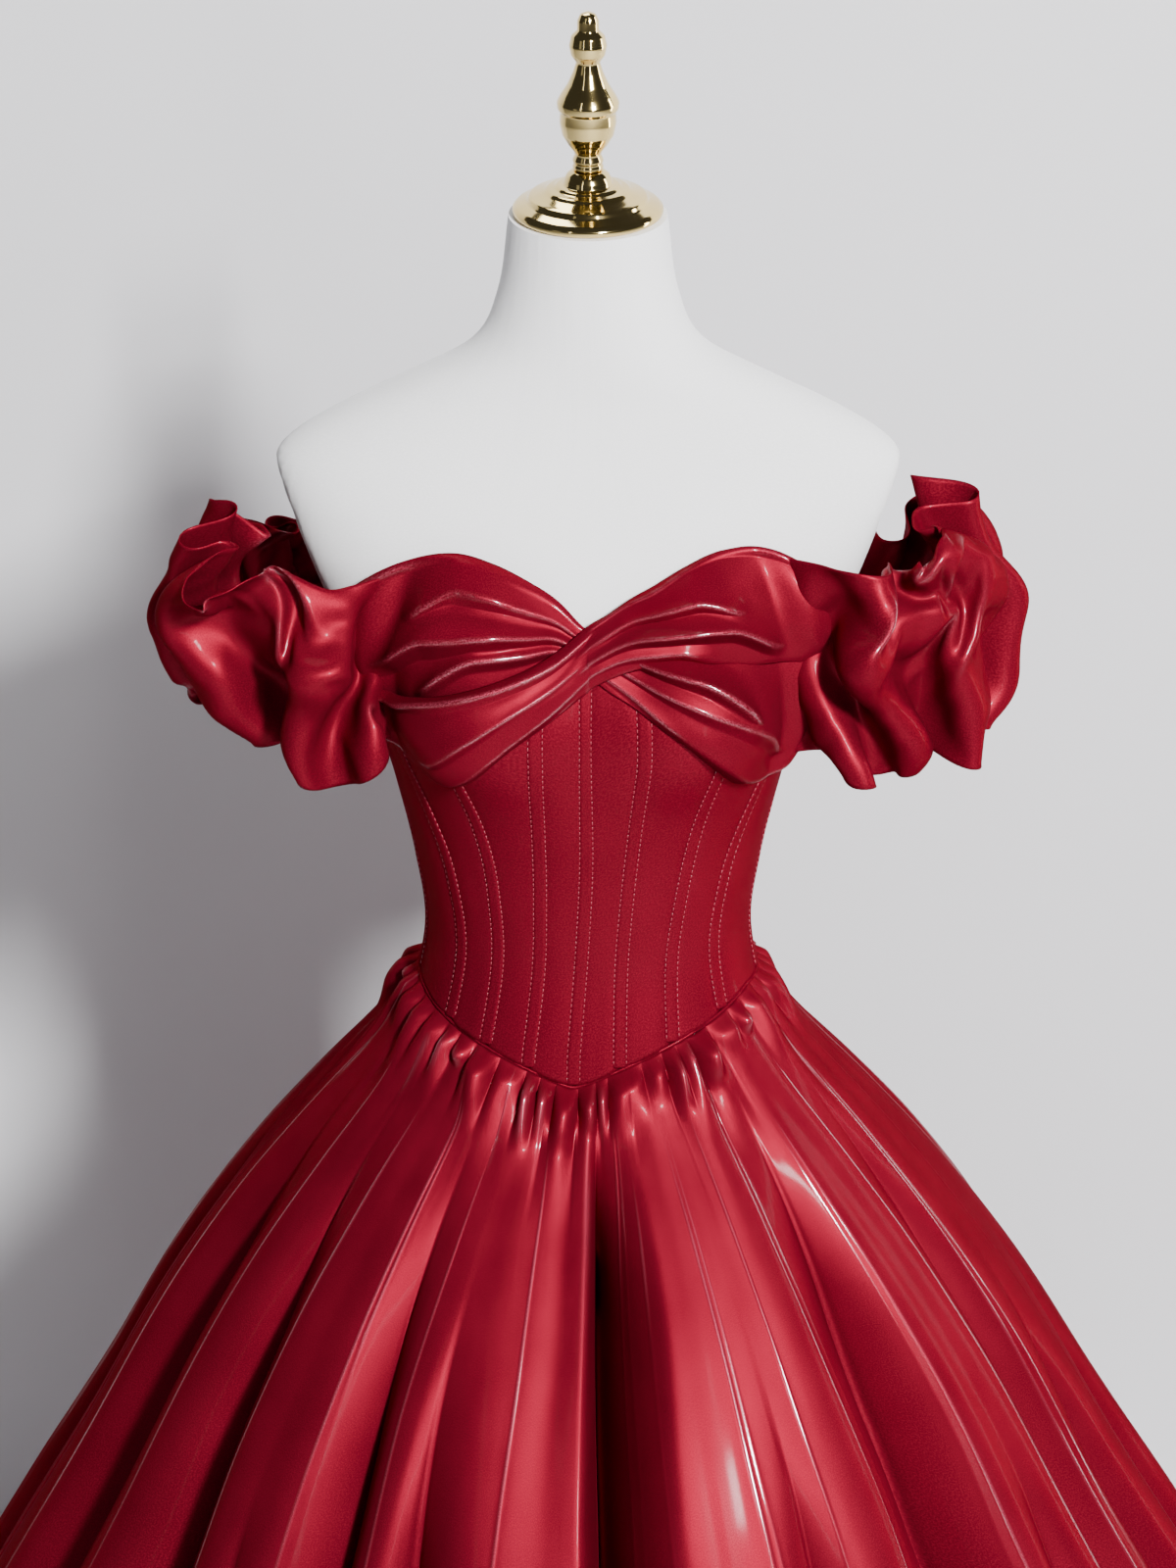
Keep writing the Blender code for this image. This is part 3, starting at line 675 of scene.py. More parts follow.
LEAN = Matrix.Rotation(NECK_TILT, 4, "X")
cap_place = Matrix.Translation((0, 0, NECK_TOP + METAL_GAP)) @ LEAN
turned("neck_cap_metal", CAP_OUTLINE, 96, cap_place, ["neck_cap"])
finial_place = cap_place @ Matrix.Translation((0, 0, CAP_OUTLINE[-1].height + METAL_GAP))
turned("finial_metal", FINIAL_OUTLINE, 72, finial_place, ["finial"], FINIAL_TIP)

pole_foot = BASE_OUTLINE[-1].height + METAL_GAP
flange_foot = FORM_SECTIONS[0].height - METAL_GAP - FLANGE_THICKNESS
POLE_OUTLINE = table(
    "radius height",
    (POLE_RADIUS, pole_foot), (POLE_RADIUS, flange_foot), (FLANGE_RADIUS, flange_foot),
    (FLANGE_RADIUS, flange_foot + FLANGE_THICKNESS),
)
turned("stand_base_metal", BASE_OUTLINE, 128, Matrix.Identity(4), ["stand_base"])
turned("stand_pole_metal", POLE_OUTLINE, 48, Matrix.Identity(4), ["stand_pole"])

# %% [markdown]
# ## The bodice
#
# The corset is cut in 12 panels. Each seam is covered by a boning casing, a narrow strip with a flat
# bone inside and a row of stitches down each edge. The panels are crowned a little between them, since
# the bones hold the seams down while the cloth between floats.

# %% Bodice sizes
BODICE_EASE = 0.0024
PANEL_WALL = 0.0012
PANEL_CROWN = 0.0018
PANEL_PUCKER = 0.00030
PANEL_RIPPLE = 0.0006
SEAM_GAP = 0.0004
CASING_WIDTH = 0.010
CASING_FOOT = 0.006
CASING_WALL = 0.0006
CASING_RISE = 0.0016
CASING_SINK = 0.0002
ZIP_WIDTH = 0.006
SEAM_HEIGHT = 1.012
POINT_DROP = 0.048
POINT_ANGLE = -6.0
POINT_SPREAD = 74.0
POINT_ROUNDING = 3.0

BODICE_TOP = table(
    "angle height",
    (0, 1.266), (15, 1.283), (35, 1.303), (55, 1.303), (72, 1.282), (95, 1.245), (122, 1.222), (150, 1.206),
    (180, 1.2),
)
SEAM_LEVELS = (0.985, 1.11, 1.20)
SEAMS = table(
    "name bottom waist top",
    ("back_r", -122, -120, -122), ("side_back_r", -86, -84, -92), ("side_r", -57, -56, -67),
    ("side_front_r", -41, -38, -42), ("front_r", -24, -19, -17), ("centre", -6, -1, -1),
    ("front_l", 13, 16, 18), ("side_front_l", 34, 38, 40), ("side_l", 56, 56, 67),
    ("side_back_l", 86, 84, 92), ("back_l", 122, 120, 122),
)
PANEL_ORDER = ("back", "side_back", "side", "side_front", "front_outer", "front_inner")
PANELS = [f"bodice_{part}_r" for part in PANEL_ORDER]
PANELS += [f"bodice_{part}_l" for part in reversed(PANEL_ORDER)]


# %% Seam curves
def waist_seam(angle):
    """The height of the seam that joins the bodice to the skirt. It dips to a point at the front."""
    away = math.sqrt((angle - POINT_ANGLE) ** 2 + POINT_ROUNDING**2) - POINT_ROUNDING
    return SEAM_HEIGHT - POINT_DROP * max(0.0, 1 - away / POINT_SPREAD) ** 1.1


def seam_angle(seam, height):
    """Where a bodice seam runs at a height."""
    return read(table("height angle", *zip(SEAM_LEVELS, seam[1:])), height, "angle")


def seam_place(seam, share):
    """The angle and height of a bodice seam at a share of the way up it."""
    angle, height = seam.waist, SEAM_LEVELS[1]
    for _ in range(4):
        low, high = waist_seam(angle), read(BODICE_TOP, abs(angle), "height")
        height = mix(low, high, share)
        angle = seam_angle(seam, height)
    return angle, height


BODICE_ROWS = 88
SEAM_PLACES = {
    seam.name: [seam_place(seam, row / BODICE_ROWS) for row in range(BODICE_ROWS + 1)] for seam in SEAMS
}

# %% [markdown]
# The satin strains a little where a panel is sewn to its neighbours. That shows as soft puckers across
# the panel, strongest near the seams and at the waist. Noise that is long across the panel and short up
# it makes them, faded out at the middle.


# %% Panels
PANEL_CUT_LENGTH = 0.34
PANEL_ALLOWANCE = 1.35
PANEL_MAP_LENGTH = 0.3
PANEL_COLUMN = 0.0035
WIDTH_HEIGHT = 1.12


def panel_edges(index):
    """The seams at a panel's two sides, as their places at each row."""
    top = BODICE_TOP[-1].height
    back = [(180, mix(SEAM_HEIGHT, top, row / BODICE_ROWS)) for row in range(BODICE_ROWS + 1)]
    left = SEAM_PLACES[SEAMS[index - 1].name] if index else [(-angle, height) for angle, height in back]
    right = SEAM_PLACES[SEAMS[index].name] if index < len(SEAMS) else back
    return left, right


def bodice_panel(index):
    left, right = panel_edges(index)
    left_trim = ZIP_WIDTH / 2 if index == 0 else SEAM_GAP / 2
    right_trim = ZIP_WIDTH / 2 if index == len(PANELS) - 1 else SEAM_GAP / 2

    def place(u, v):
        row = round(v * BODICE_ROWS)
        start, height = left[row]
        end = right[row][0]
        radius = reach(mix(start, end, u), height)
        start += math.degrees(left_trim / radius)
        end -= math.degrees(right_trim / radius)
        angle = mix(start, end, u)
        low, high = waist_seam(angle), read(BODICE_TOP, abs(angle), "height")
        height = mix(low, high, v)
        edge = abs(2 * u - 1)
        out = BODICE_EASE + PANEL_CROWN * (1 - edge**4)
        pucker = grain_at(index * 7.1 + u * 1.5, height * 70, 0.3)
        out += PANEL_PUCKER * pucker * (edge**2 + 1.2 * (1 - ease((height - low) / 0.04)))
        out += PANEL_RIPPLE * grain_at(index * 3.3 + u * 2.2, height * 11, 4.0) * (1 - edge**2)
        return off_form(angle, height, out)

    start, end = left[BODICE_ROWS // 2][0], right[BODICE_ROWS // 2][0]
    width = math.radians(end - start) * reach(mix(start, end, 0.5), WIDTH_HEIGHT)
    size, cut = (width, PANEL_MAP_LENGTH), (width * PANEL_ALLOWANCE, PANEL_CUT_LENGTH)
    columns = max(10, round(width / PANEL_COLUMN))
    lay_cloth(PANELS[index], columns, BODICE_ROWS, place, size, PANEL_WALL, cut, "stretched")


for index in range(len(PANELS)):
    bodice_panel(index)

# %% [markdown]
# A casing is a grid too, narrow and long. Its cross-section is a low arch with pressed edges, since the
# bone fills the middle and the stitches hold the sides flat. It narrows nowhere, so the stitches can
# follow it at a fixed distance from its edges.

# %% Casings
CASING_COLUMNS = 10
CASING_SIZE = (CASING_WIDTH, 0.29)
CASING_CUT = (CASING_WIDTH * 1.25, 0.32)
CASING_KEENNESS = 0.3
STITCH_INSET = 0.0013
STITCH_PITCH = 0.0038
STITCH_SHARE = 0.56
STITCH_RADIUS = 0.00036


def casing_point(seam, aside, share):
    """A point on a casing: aside is metres from its middle line, share is how far up it is."""
    share = max(share, CASING_FOOT)
    position = share * BODICE_ROWS
    row = min(int(position), BODICE_ROWS - 1)
    (a0, h0), (a1, h1) = SEAM_PLACES[seam.name][row], SEAM_PLACES[seam.name][row + 1]
    angle, height = mix(a0, a1, position - row), mix(h0, h1, position - row)
    from_middle = abs(aside) / (CASING_WIDTH / 2)
    arch = ease((1 - from_middle) / 0.45)
    out = BODICE_EASE + PANEL_WALL - CASING_SINK + CASING_RISE * arch
    out += 0.00012 * grain_at(aside * 90, height * 60, seam.top * 0.7)
    return off_form(angle + math.degrees(aside / reach(angle, height)), height, out)


def casing(seam):
    def place(u, v):
        return casing_point(seam, (u - 0.5) * CASING_WIDTH, v)

    lay_cloth(
        f"casing_{seam.name}", CASING_COLUMNS, BODICE_ROWS, place, CASING_SIZE, CASING_WALL, CASING_CUT,
        "stretched", CASING_KEENNESS,
    )


for seam in SEAMS:
    casing(seam)

# %% [markdown]
# A stitch is a short, plump bar of thread that goes into the cloth at both ends. Each is a six-sided bar
# from the cone operator, half sunk in the casing. Both rows of a casing share one mesh, to stay light.


# %% Stitches
def add_stitch(mesh, start, end, outwards):
    """One stitch between two points, lying on the cloth."""
    along = end - start
    made = bmesh.ops.create_cone(
        mesh, cap_ends=True, segments=6, radius1=STITCH_RADIUS, radius2=STITCH_RADIUS,
        depth=along.length * STITCH_SHARE,
    )
    middle = (start + end) / 2 + outwards * STITCH_RADIUS * 0.4
    turn = along.to_track_quat("Z", "Y").to_matrix().to_4x4()
    bmesh.ops.transform(mesh, matrix=Matrix.Translation(middle) @ turn, verts=made["verts"])


def stitch_rows(name, rows):
    """One piece for several rows of stitches. Each row is a list of points and the way out there."""
    mesh = bmesh.new()
    for row in rows:
        for (here, outwards), (there, _) in zip(row, row[1:]):
            add_stitch(mesh, here, there, outwards)
    print(name, "stitches", sum(len(row) - 1 for row in rows))
    add_piece(name, mesh, thread)


def casing_stitch_row(seam, side):
    aside = side * (CASING_WIDTH / 2 - STITCH_INSET)
    length = (casing_point(seam, aside, 0.985) - casing_point(seam, aside, 0.01)).length
    count = int(length / STITCH_PITCH)
    row = []
    for k in range(count + 1):
        share = mix(0.012, 0.985, k / count)
        here = casing_point(seam, aside, share)
        up = casing_point(seam, aside, share + 0.005) - here
        across = casing_point(seam, aside + 0.001, share) - here
        outwards = across.cross(up).normalized()
        row.append((here + outwards * CASING_WALL, outwards))
    return row


for seam in SEAMS:
    stitch_rows(f"stitches_{seam.name}", [casing_stitch_row(seam, side) for side in (-1, 1)])


# %% Zip
def back_zip():
    def place(u, v):
        height = mix(SEAM_HEIGHT, BODICE_TOP[-1].height, v)
        aside = (u - 0.5) * (ZIP_WIDTH - 2 * SEAM_GAP) / reach(180, height)
        dip = 0.0005 * abs(2 * u - 1) ** 2
        return off_form(180 + math.degrees(aside), height, BODICE_EASE + dip)

    mesh = sheet_mesh(8, 90, place, ZIP_WIDTH, 0.19)
    add_piece("back_zip_tape", mesh, tape, 0.0010, ["back_zip"])


back_zip()

# %% [markdown]
# ## The skirt
#
# The skirt is three widths of satin, gathered into the waist seam. Close under the seam there are many
# small puffs, no two alike. They run together into medium folds, and these into a couple of dozen large
# ones. Each large fold is round in front and its valley is narrow, and one flank of a valley is often
# steeper than the other.

# %% Skirt sizes
HEM_HEIGHT = 0.012
HEM_RADIUS = 0.715
HEM_SWAY = 0.012
SKIRT_SIDE_SEAM = 85.0
SKIRT_SEAM_GAP = 0.0007
SKIRT_TOP_GAP = 0.0006
SKIRT_TOP_OUT = 0.0008
SKIRT_WALL = 0.0010
FOLD_DEPTH = 0.145
PUFF_ANGLE = 7.6
PUFF_LENGTHS = (0.014, 0.075)
PUFF_HEIGHTS = (0.0050, 0.0150)
MEDIUM_ANGLE = 11.0
MEDIUM_LENGTHS = (0.03, 0.12)
MEDIUM_HEIGHTS = (0.001, 0.008)
SLOPE_LENGTH = 1.25
SURFACE_RIPPLE = 0.0022

SKIRT_FLARE = table(
    "drop flare",
    (0.0, 0.0), (0.02, 0.023), (0.05, 0.063), (0.1, 0.138), (0.16, 0.222), (0.24, 0.318), (0.34, 0.419),
    (0.46, 0.544), (0.7, 0.775), (1.0, 1.0),
)

# Each valley's depth, and the share of the fold on its left and on its right that its flanks take up.
SKIRT_VALLEYS = table(
    "angle depth left right",
    (-187, 0.9, 0.73, 0.79), (-173, 0.9, 0.67, 0.85), (-160, 0.8, 0.79, 0.73), (-147, 1.1, 0.73, 0.67),
    (-134, 0.7, 0.85, 0.73), (-120, 1.0, 0.67, 0.79), (-107, 0.8, 0.79, 0.73), (-95, 0.9, 0.73, 0.7),
    (-74, 1.0, 0.64, 0.79), (-57, 1.1, 0.67, 0.89), (-46, 0.7, 0.73, 0.85), (-33, 1.1, 0.73, 0.79),
    (-23, 0.9, 0.73, 0.59), (2, 1.9, 0.12, 0.95), (17, 0.6, 0.79, 0.79), (27, 0.8, 0.73, 0.73),
    (46, 1.2, 0.7, 0.73), (58, 0.7, 0.79, 0.73), (68, 1.0, 0.67, 0.85), (79, 0.8, 0.79, 0.73),
    (91, 0.8, 0.73, 0.73), (104, 1.0, 0.67, 0.79), (117, 0.8, 0.79, 0.73), (131, 1.0, 0.73, 0.67),
    (145, 0.8, 0.79, 0.79), (159, 1.1, 0.67, 0.79), (173, 0.9, 0.79, 0.67), (187, 0.9, 0.79, 0.67),
)

# Each crease's angle, the drops where it starts and ends, its height in half millimetres, and the angle
# to a fainter twin beside it, or 0.
HALF_MILLIMETRES = 2000
SKIRT_CREASES = table(
    "angle start end height twin",
    (-180, 0.06, 1.2, 1.0, 0), (-166, 0.05, 1.2, 1.2, 1.5), (-153, 0.03, 0.7, 1.0, 0),
    (-141, 0.12, 1.2, 1.2, 0), (-127, 0.04, 1.2, 1.0, -1.5), (-114, 0.08, 0.9, 1.2, 0),
    (-101, 0.05, 1.2, 1.1, 1.6), (-82, 0.02, 1.2, 1.0, 0), (-66, 0.03, 1.2, 1.2, 0),
    (-51, 0.04, 1.2, 1.3, 0), (-39.5, 0.02, 1.2, 1.4, 1.3), (-28, 0.05, 1.2, 1.3, 0),
    (-12, 0.03, 1.2, 1.0, 0), (8, 0.02, 1.2, 1.5, 1.7), (12, 0.05, 1.2, 1.2, 0), (22, 0.03, 1.2, 1.4, 1.4),
    (31, 0.03, 1.2, 1.2, 0), (38, 0.02, 1.2, 1.4, 1.8), (52, 0.05, 1.2, 1.3, -1.5), (63, 0.03, 1.2, 1.5, 0),
    (73, 0.04, 1.2, 1.4, 1.7), (85, 0.1, 0.9, 1.0, 0), (97, 0.03, 1.2, 1.2, 0), (110, 0.06, 1.2, 1.0, 1.6),
    (124, 0.04, 0.8, 1.2, 0), (138, 0.05, 1.2, 1.1, -1.7), (152, 0.03, 1.2, 1.2, 0),
    (166, 0.08, 1.2, 1.0, 1.5), (180, 0.06, 1.2, 1.0, 0),
)
CREASE_HALF_ANGLE = 0.34
# A fall smaller than the ridge share is left out, softly, which keeps the ridges broad and round.
RIDGE_SHARE = 0.27
RIDGE_ROUNDING = 0.12
FOLD_OPENS = 0.30


# %% Folds
def valley_flank(share, width):
    """1 at a valley's floor, which is narrow, and 0 from where its flank ends."""
    return (1 - min(share / width, 1.0)) ** 1.45


def large_fold(angle, drop):
    """0 on the round of a large fold, down to minus its depth at a valley."""
    for before, after in zip(SKIRT_VALLEYS, SKIRT_VALLEYS[1:]):
        if angle <= after.angle:
            break
    share = (angle - before.angle) / (after.angle - before.angle)
    wide = min(1.0, (after.angle - before.angle) / 14)
    spread = read(SKIRT_FLARE, drop, "flare") ** 0.6
    usual = ease(drop / FOLD_OPENS) * spread
    falls = 0.0
    for one, away, width in ((before, share, before.right), (after, 1 - share, after.left)):
        begin = 0.55 * max(1 - one.depth, 0.0) + 0.04 * grain_at(one.angle * 1.7, 0.5, 8.0)
        opened = ease((drop - begin) * max(one.depth, 1.0) / FOLD_OPENS) * spread
        opened *= 1 + 0.35 * grain_at(one.angle * 0.9, drop * 3.0, 4.0)
        falls += one.depth * opened * valley_flank(away, width)
    over = falls - RIDGE_SHARE * usual
    return -wide * (over + math.hypot(over, RIDGE_ROUNDING * usual)) / 2


def crease_height(angle, drop):
    """Thin roof-shaped ridges that run down the large folds."""
    total = 0.0
    for one in SKIRT_CREASES:
        if abs(angle - one.angle) > 3:
            continue
        shown = ease((drop - one.start) / 0.06) * (1 - ease((drop - one.end) / 0.1))
        shown *= 0.75 + 0.5 * grain_at(one.angle, drop * 5, 3.3)
        for aside, share in ((0, 1.0), (one.twin, 0.6 if one.twin else 0.0)):
            away = abs(angle - one.angle - aside * (0.7 + 0.4 * grain_at(drop * 4, one.angle, 0)))
            roof = max(0.0, 1 - away / CREASE_HALF_ANGLE) ** 1.2
            total += share * shown * one.height / HALF_MILLIMETRES * roof
    return total


def pleat(angle, spacing, wander, seed):
    """Which small pleat an angle is in: its profile, 1 on the ridge and 0 between, and its own number."""
    phase = angle / spacing + wander * grain_at(angle / (spacing * 2.3), seed, 0)
    number = math.floor(phase + 0.5)
    return abs(math.cos(math.pi * (phase - number))), number


def chance(number, seed):
    """A fixed value from 0 to 1 for a pleat."""
    return min(max(0.5 + 0.9 * grain_at(number * 1.37 + 0.5, seed * 3.1 + 0.5, 0.5), 0.0), 1.0)


# %% [markdown]
# The number of a pleat gives it its own height and length, so neighbours differ but nothing jumps: the
# profile is zero where two pleats meet. The puffs under the seam swell within a centimetre and fade
# over 1.4 to 7.5 cm.


# %% Skirt surface
def hanging_point(angle, drop):
    """The skirt's inner face at an angle and a share of its drop, before its ends are joined."""
    seam = waist_seam(angle)
    height = mix(seam - SKIRT_TOP_GAP, HEM_HEIGHT, drop)
    start = reach(angle, seam) + BODICE_EASE + SKIRT_TOP_OUT
    down = (seam - height) * SLOPE_LENGTH
    wander = 3.4 * ease(drop / 0.22) * grain_at(angle / 19.0, drop * 2.3, 7.7)
    wander += 0.20 * ease(drop / 0.15) * grain_at(angle / 7.0, drop * 13, 1.7)
    turned_angle = angle + wander
    radius = mix(start, HEM_RADIUS, read(SKIRT_FLARE, drop, "flare"))

    small, number = pleat(angle + 1.6 * grain_at(angle / 7, down * 16, 2.0), PUFF_ANGLE, 0.9, 1.0)
    length = mix(*PUFF_LENGTHS, chance(number, 1.0) ** 1.5)
    tall = mix(*PUFF_HEIGHTS, chance(number, 2.0))
    radius += tall * small * (0.10 + 0.90 * ease(down / 0.012)) * (1 - ease((down - 0.008) / length))

    medium, number = pleat(turned_angle, MEDIUM_ANGLE, 0.45, 5.0)
    length = mix(*MEDIUM_LENGTHS, chance(number, 3.0))
    tall = mix(*MEDIUM_HEIGHTS, chance(number, 4.0) ** 1.5)
    radius += tall * (medium**1.3 - 0.3) * ease(down / 0.03) * (1 - ease((down - 0.02) / length))

    radius += FOLD_DEPTH * large_fold(angle, drop)
    radius += SURFACE_RIPPLE * ease(drop / 0.08) * grain_at(angle / 6.0, drop * 3.0, 1.0)
    radius += crease_height(angle, drop)

    turn = math.radians(turned_angle)
    sway = HEM_SWAY * read(SKIRT_FLARE, drop, "flare")
    return Vector((radius * math.sin(turn) + sway, -radius * math.cos(turn), height))


JOIN_ANGLE = 10.0


def skirt_point(angle, drop):
    """The skirt's inner face. Towards the centre back its two ends run together."""
    point = hanging_point(angle, drop)
    share = ease((abs(angle) - 180 + JOIN_ANGLE) / JOIN_ANGLE) / 2
    if share > 0:
        point = point.lerp(hanging_point(angle - math.copysign(360, angle), drop), share)
    return point


def drop_at(share):
    """Rows are close together under the waist and spread out towards the hem."""
    return 0.12 * share + 0.88 * share**2.4


# %% [markdown]
# A crease is only millimetres wide, so the grid's columns crowd together there. The angles are found by
# a walk round the skirt that counts more near a crease, read at equal shares of its total.


# %% Column spacing
def crowded_angles(start, end, columns):
    """Angles for the grid's columns, closer together on the creases."""
    steps = columns * 12
    walk, total = [0.0], 0.0
    for k in range(steps):
        angle = mix(start, end, (k + 0.5) / steps)
        near = 0.0
        for one in SKIRT_CREASES:
            near = max(near, math.exp(-(((angle - one.angle) / 0.45) ** 2)))
            if one.twin:
                near = max(near, 0.8 * math.exp(-(((angle - one.angle - one.twin * 0.75) / 0.5) ** 2)))
        total += 1 + 4.5 * near
        walk.append(total)
    angles, k = [], 0
    for column in range(columns + 1):
        goal = total * column / columns
        while k < steps - 1 and walk[k + 1] < goal:
            k += 1
        angles.append(mix(start, end, (k + (goal - walk[k]) / (walk[k + 1] - walk[k])) / steps))
    return angles


SKIRT_ROWS = 104
SKIRT_MAP_LENGTH = 1.19
SKIRT_CUT_LENGTH = 1.21
HEM_ALLOWANCE = 1.08
TRIM_RADIUS = 0.3


def skirt_width(name, start, end, columns):
    """One width of the skirt, between two upright seams."""
    trim = math.degrees(SKIRT_SEAM_GAP / 2 / TRIM_RADIUS)
    angles = crowded_angles(start + trim, end - trim, columns)

    def place(u, v):
        return skirt_point(angles[round(u * columns)], drop_at(1 - v))

    hem = math.radians(end - start) * HEM_RADIUS * HEM_ALLOWANCE
    size, cut = (hem, SKIRT_MAP_LENGTH), (hem, SKIRT_CUT_LENGTH)
    lay_cloth(name, columns, SKIRT_ROWS, place, size, SKIRT_WALL, cut, "gathered")


skirt_width("skirt_front", -SKIRT_SIDE_SEAM, SKIRT_SIDE_SEAM, 460)
skirt_width("skirt_back_l", SKIRT_SIDE_SEAM, 180, 230)
skirt_width("skirt_back_r", -180, -SKIRT_SIDE_SEAM, 230)


# %% Waist piping
PIPING_STEPS = 360
PIPING_SIDES = 10
PIPING_RADIUS = 0.0013
PIPING_SIZE = (0.72, 0.008)
PIPING_KEENNESS = 0.15


def piping_point(u, v):
    """A thin covered cord in the waist seam: u runs round the waist and v round the cord."""
    angle, around = 360 * u - 180, math.tau * v
    height = waist_seam(angle) - 0.0002
    centre = off_form(angle, height, BODICE_EASE + PANEL_WALL + 0.0006)
    outwards = (centre - off_form(angle, height, 0)).normalized()
    size = PIPING_RADIUS * (1 + 0.12 * grain_at(angle / 2.0, 3.0, 1.0))
    return centre + outwards * size * math.sin(around) + Vector((0, 0, 1)) * size * math.cos(around)


piping = sheet_mesh(PIPING_STEPS, PIPING_SIDES, piping_point, *PIPING_SIZE)
bmesh.ops.remove_doubles(piping, verts=piping.verts[:], dist=TINY)
bmesh.ops.recalc_face_normals(piping, faces=piping.faces[:])
print("piping faces", len(piping.faces))
add_piece("waist_piping", piping, satin, keenness=PIPING_KEENNESS)

# %% [markdown]
# ## The bust drape
#
# Two wide bands of satin cross at the centre front. They are gathered hard there, and their pleats fan
# out to both sides like the ribs of a shell. The bands are grids along the bust: u runs from one arm to
# the other, and v from the lower edge to the upper. Each pleat rises slowly and drops off sharply.

# %% Drape tables
OVER_BAND = table(
    "angle top bottom top_out bottom_out bulge",
    (-70, 1.243, 1.217, 0.0085, 0.0058, 0.001), (-60, 1.241, 1.205, 0.009, 0.006, 0.003),
    (-50, 1.24, 1.197, 0.015, 0.007, 0.011), (-38, 1.243, 1.188, 0.016, 0.008, 0.015),
    (-23, 1.257, 1.215, 0.014, 0.008, 0.012), (-12, 1.27, 1.232, 0.0125, 0.0095, 0.008),
    (0, 1.286, 1.249, 0.012, 0.012, 0.006), (8, 1.293, 1.256, 0.01, 0.0125, 0.007),
    (17, 1.302, 1.261, 0.008, 0.0125, 0.01), (27, 1.31, 1.263, 0.0065, 0.0115, 0.015),
    (38, 1.32, 1.262, 0.006, 0.0115, 0.018), (50, 1.329, 1.26, 0.006, 0.011, 0.013),
    (60, 1.328, 1.26, 0.006, 0.01, 0.003), (70, 1.303, 1.258, 0.006, 0.009, 0.001),
)
UNDER_BAND = table(
    "angle top bottom top_out bottom_out bulge",
    (-70, 1.298, 1.232, 0.006, 0.006, 0.001), (-60, 1.32, 1.228, 0.006, 0.006, 0.003),
    (-50, 1.327, 1.226, 0.006, 0.0062, 0.014), (-38, 1.322, 1.23, 0.006, 0.0062, 0.018),
    (-23, 1.311, 1.244, 0.006, 0.006, 0.008), (-12, 1.301, 1.256, 0.006, 0.006, 0.001),
    (0, 1.284, 1.256, 0.006, 0.006, 0.0), (8, 1.282, 1.247, 0.006, 0.006, 0.0),
    (17, 1.276, 1.236, 0.006, 0.006, 0.001), (27, 1.275, 1.219, 0.006, 0.0065, 0.009),
    (38, 1.274, 1.197, 0.006, 0.008, 0.014), (47, 1.273, 1.183, 0.006, 0.0075, 0.013),
    (60, 1.272, 1.18, 0.006, 0.006, 0.003), (70, 1.272, 1.2, 0.006, 0.006, 0.001),
)
DRAPE_LIFT = 0.0009
DRAPE_TURN = 56.0
DRAPE_END_LIFT = 0.014
DRAPE_FLAT = 66.5
DRAPE_FLAT_OVER = 3.5
DRAPE_FAN_ANGLE = 34
DRAPE_EDGE = 0.07
DRAPE_RIPPLE = 0.0012
DRAPE_WALL = 0.0009
DRAPE_COLUMNS = 260
DRAPE_LINES = 84
DRAPE_SIZE = (0.42, 0.12)
DRAPE_CUT = (0.46, 0.20)
DRAPE_KEENNESS = 0.55

# Each pleat's side, its place across the band at the crossing and at the arm, its height and width,
# and the angle where it ends in a rounded loop.
OVER_PLEATS = table(
    "side near far height width end",
    (-1, 0.84, 0.93, 0.007, 0.34, 80), (-1, 0.5, 0.46, 0.0025, 0.3, 46), (-1, 0.16, 0.06, 0.0045, 0.3, 80),
    (1, 0.93, 0.96, 0.003, 0.16, 80), (1, 0.66, 0.66, 0.009, 0.42, 50), (1, 0.4, 0.32, 0.014, 0.38, 57),
    (1, 0.16, 0.1, 0.006, 0.22, 43),
)
UNDER_PLEATS = table(
    "side near far height width end",
    (-1, 0.94, 0.97, 0.004, 0.14, 80), (-1, 0.72, 0.78, 0.0105, 0.46, 57), (-1, 0.5, 0.5, 0.0155, 0.42, 61),
    (-1, 0.33, 0.33, 0.009, 0.24, 48), (1, 0.72, 0.66, 0.0125, 0.36, 46), (1, 0.44, 0.4, 0.006, 0.34, 60),
    (1, 0.16, 0.06, 0.005, 0.3, 80),
)


# %% Drape bands
def pleat_height(pleats, angle, v):
    """How far the pleats stand out at a place on a band."""
    total = 0.0
    spread = ease(abs(angle) / DRAPE_FAN_ANGLE)
    for one in pleats:
        shown = ease(0.5 + one.side * angle / 14) * (1 - ease((abs(angle) - one.end + 6) / 8))
        crest = mix(one.near, one.far, spread) + 0.04 * grain_at(angle / 30, one.near * 9, 2.0)
        crest -= 0.16 * ease((abs(angle) - one.end + 14) / 14) * (1 if one.end < 70 else 0)
        aside = (v - crest) / one.width
        if aside > 0:
            profile = max(0.0, 1 - aside) ** 1.8
        else:
            profile = max(0.0, 1 + aside * 3.4) ** 1.3
        height = one.height * (0.28 + 0.72 * spread) * (1 + 0.2 * grain_at(angle / 16, one.far * 7, 6.0))
        rise = height * shown * profile
        total = max(total, rise) + 0.35 * min(total, rise)
    return total


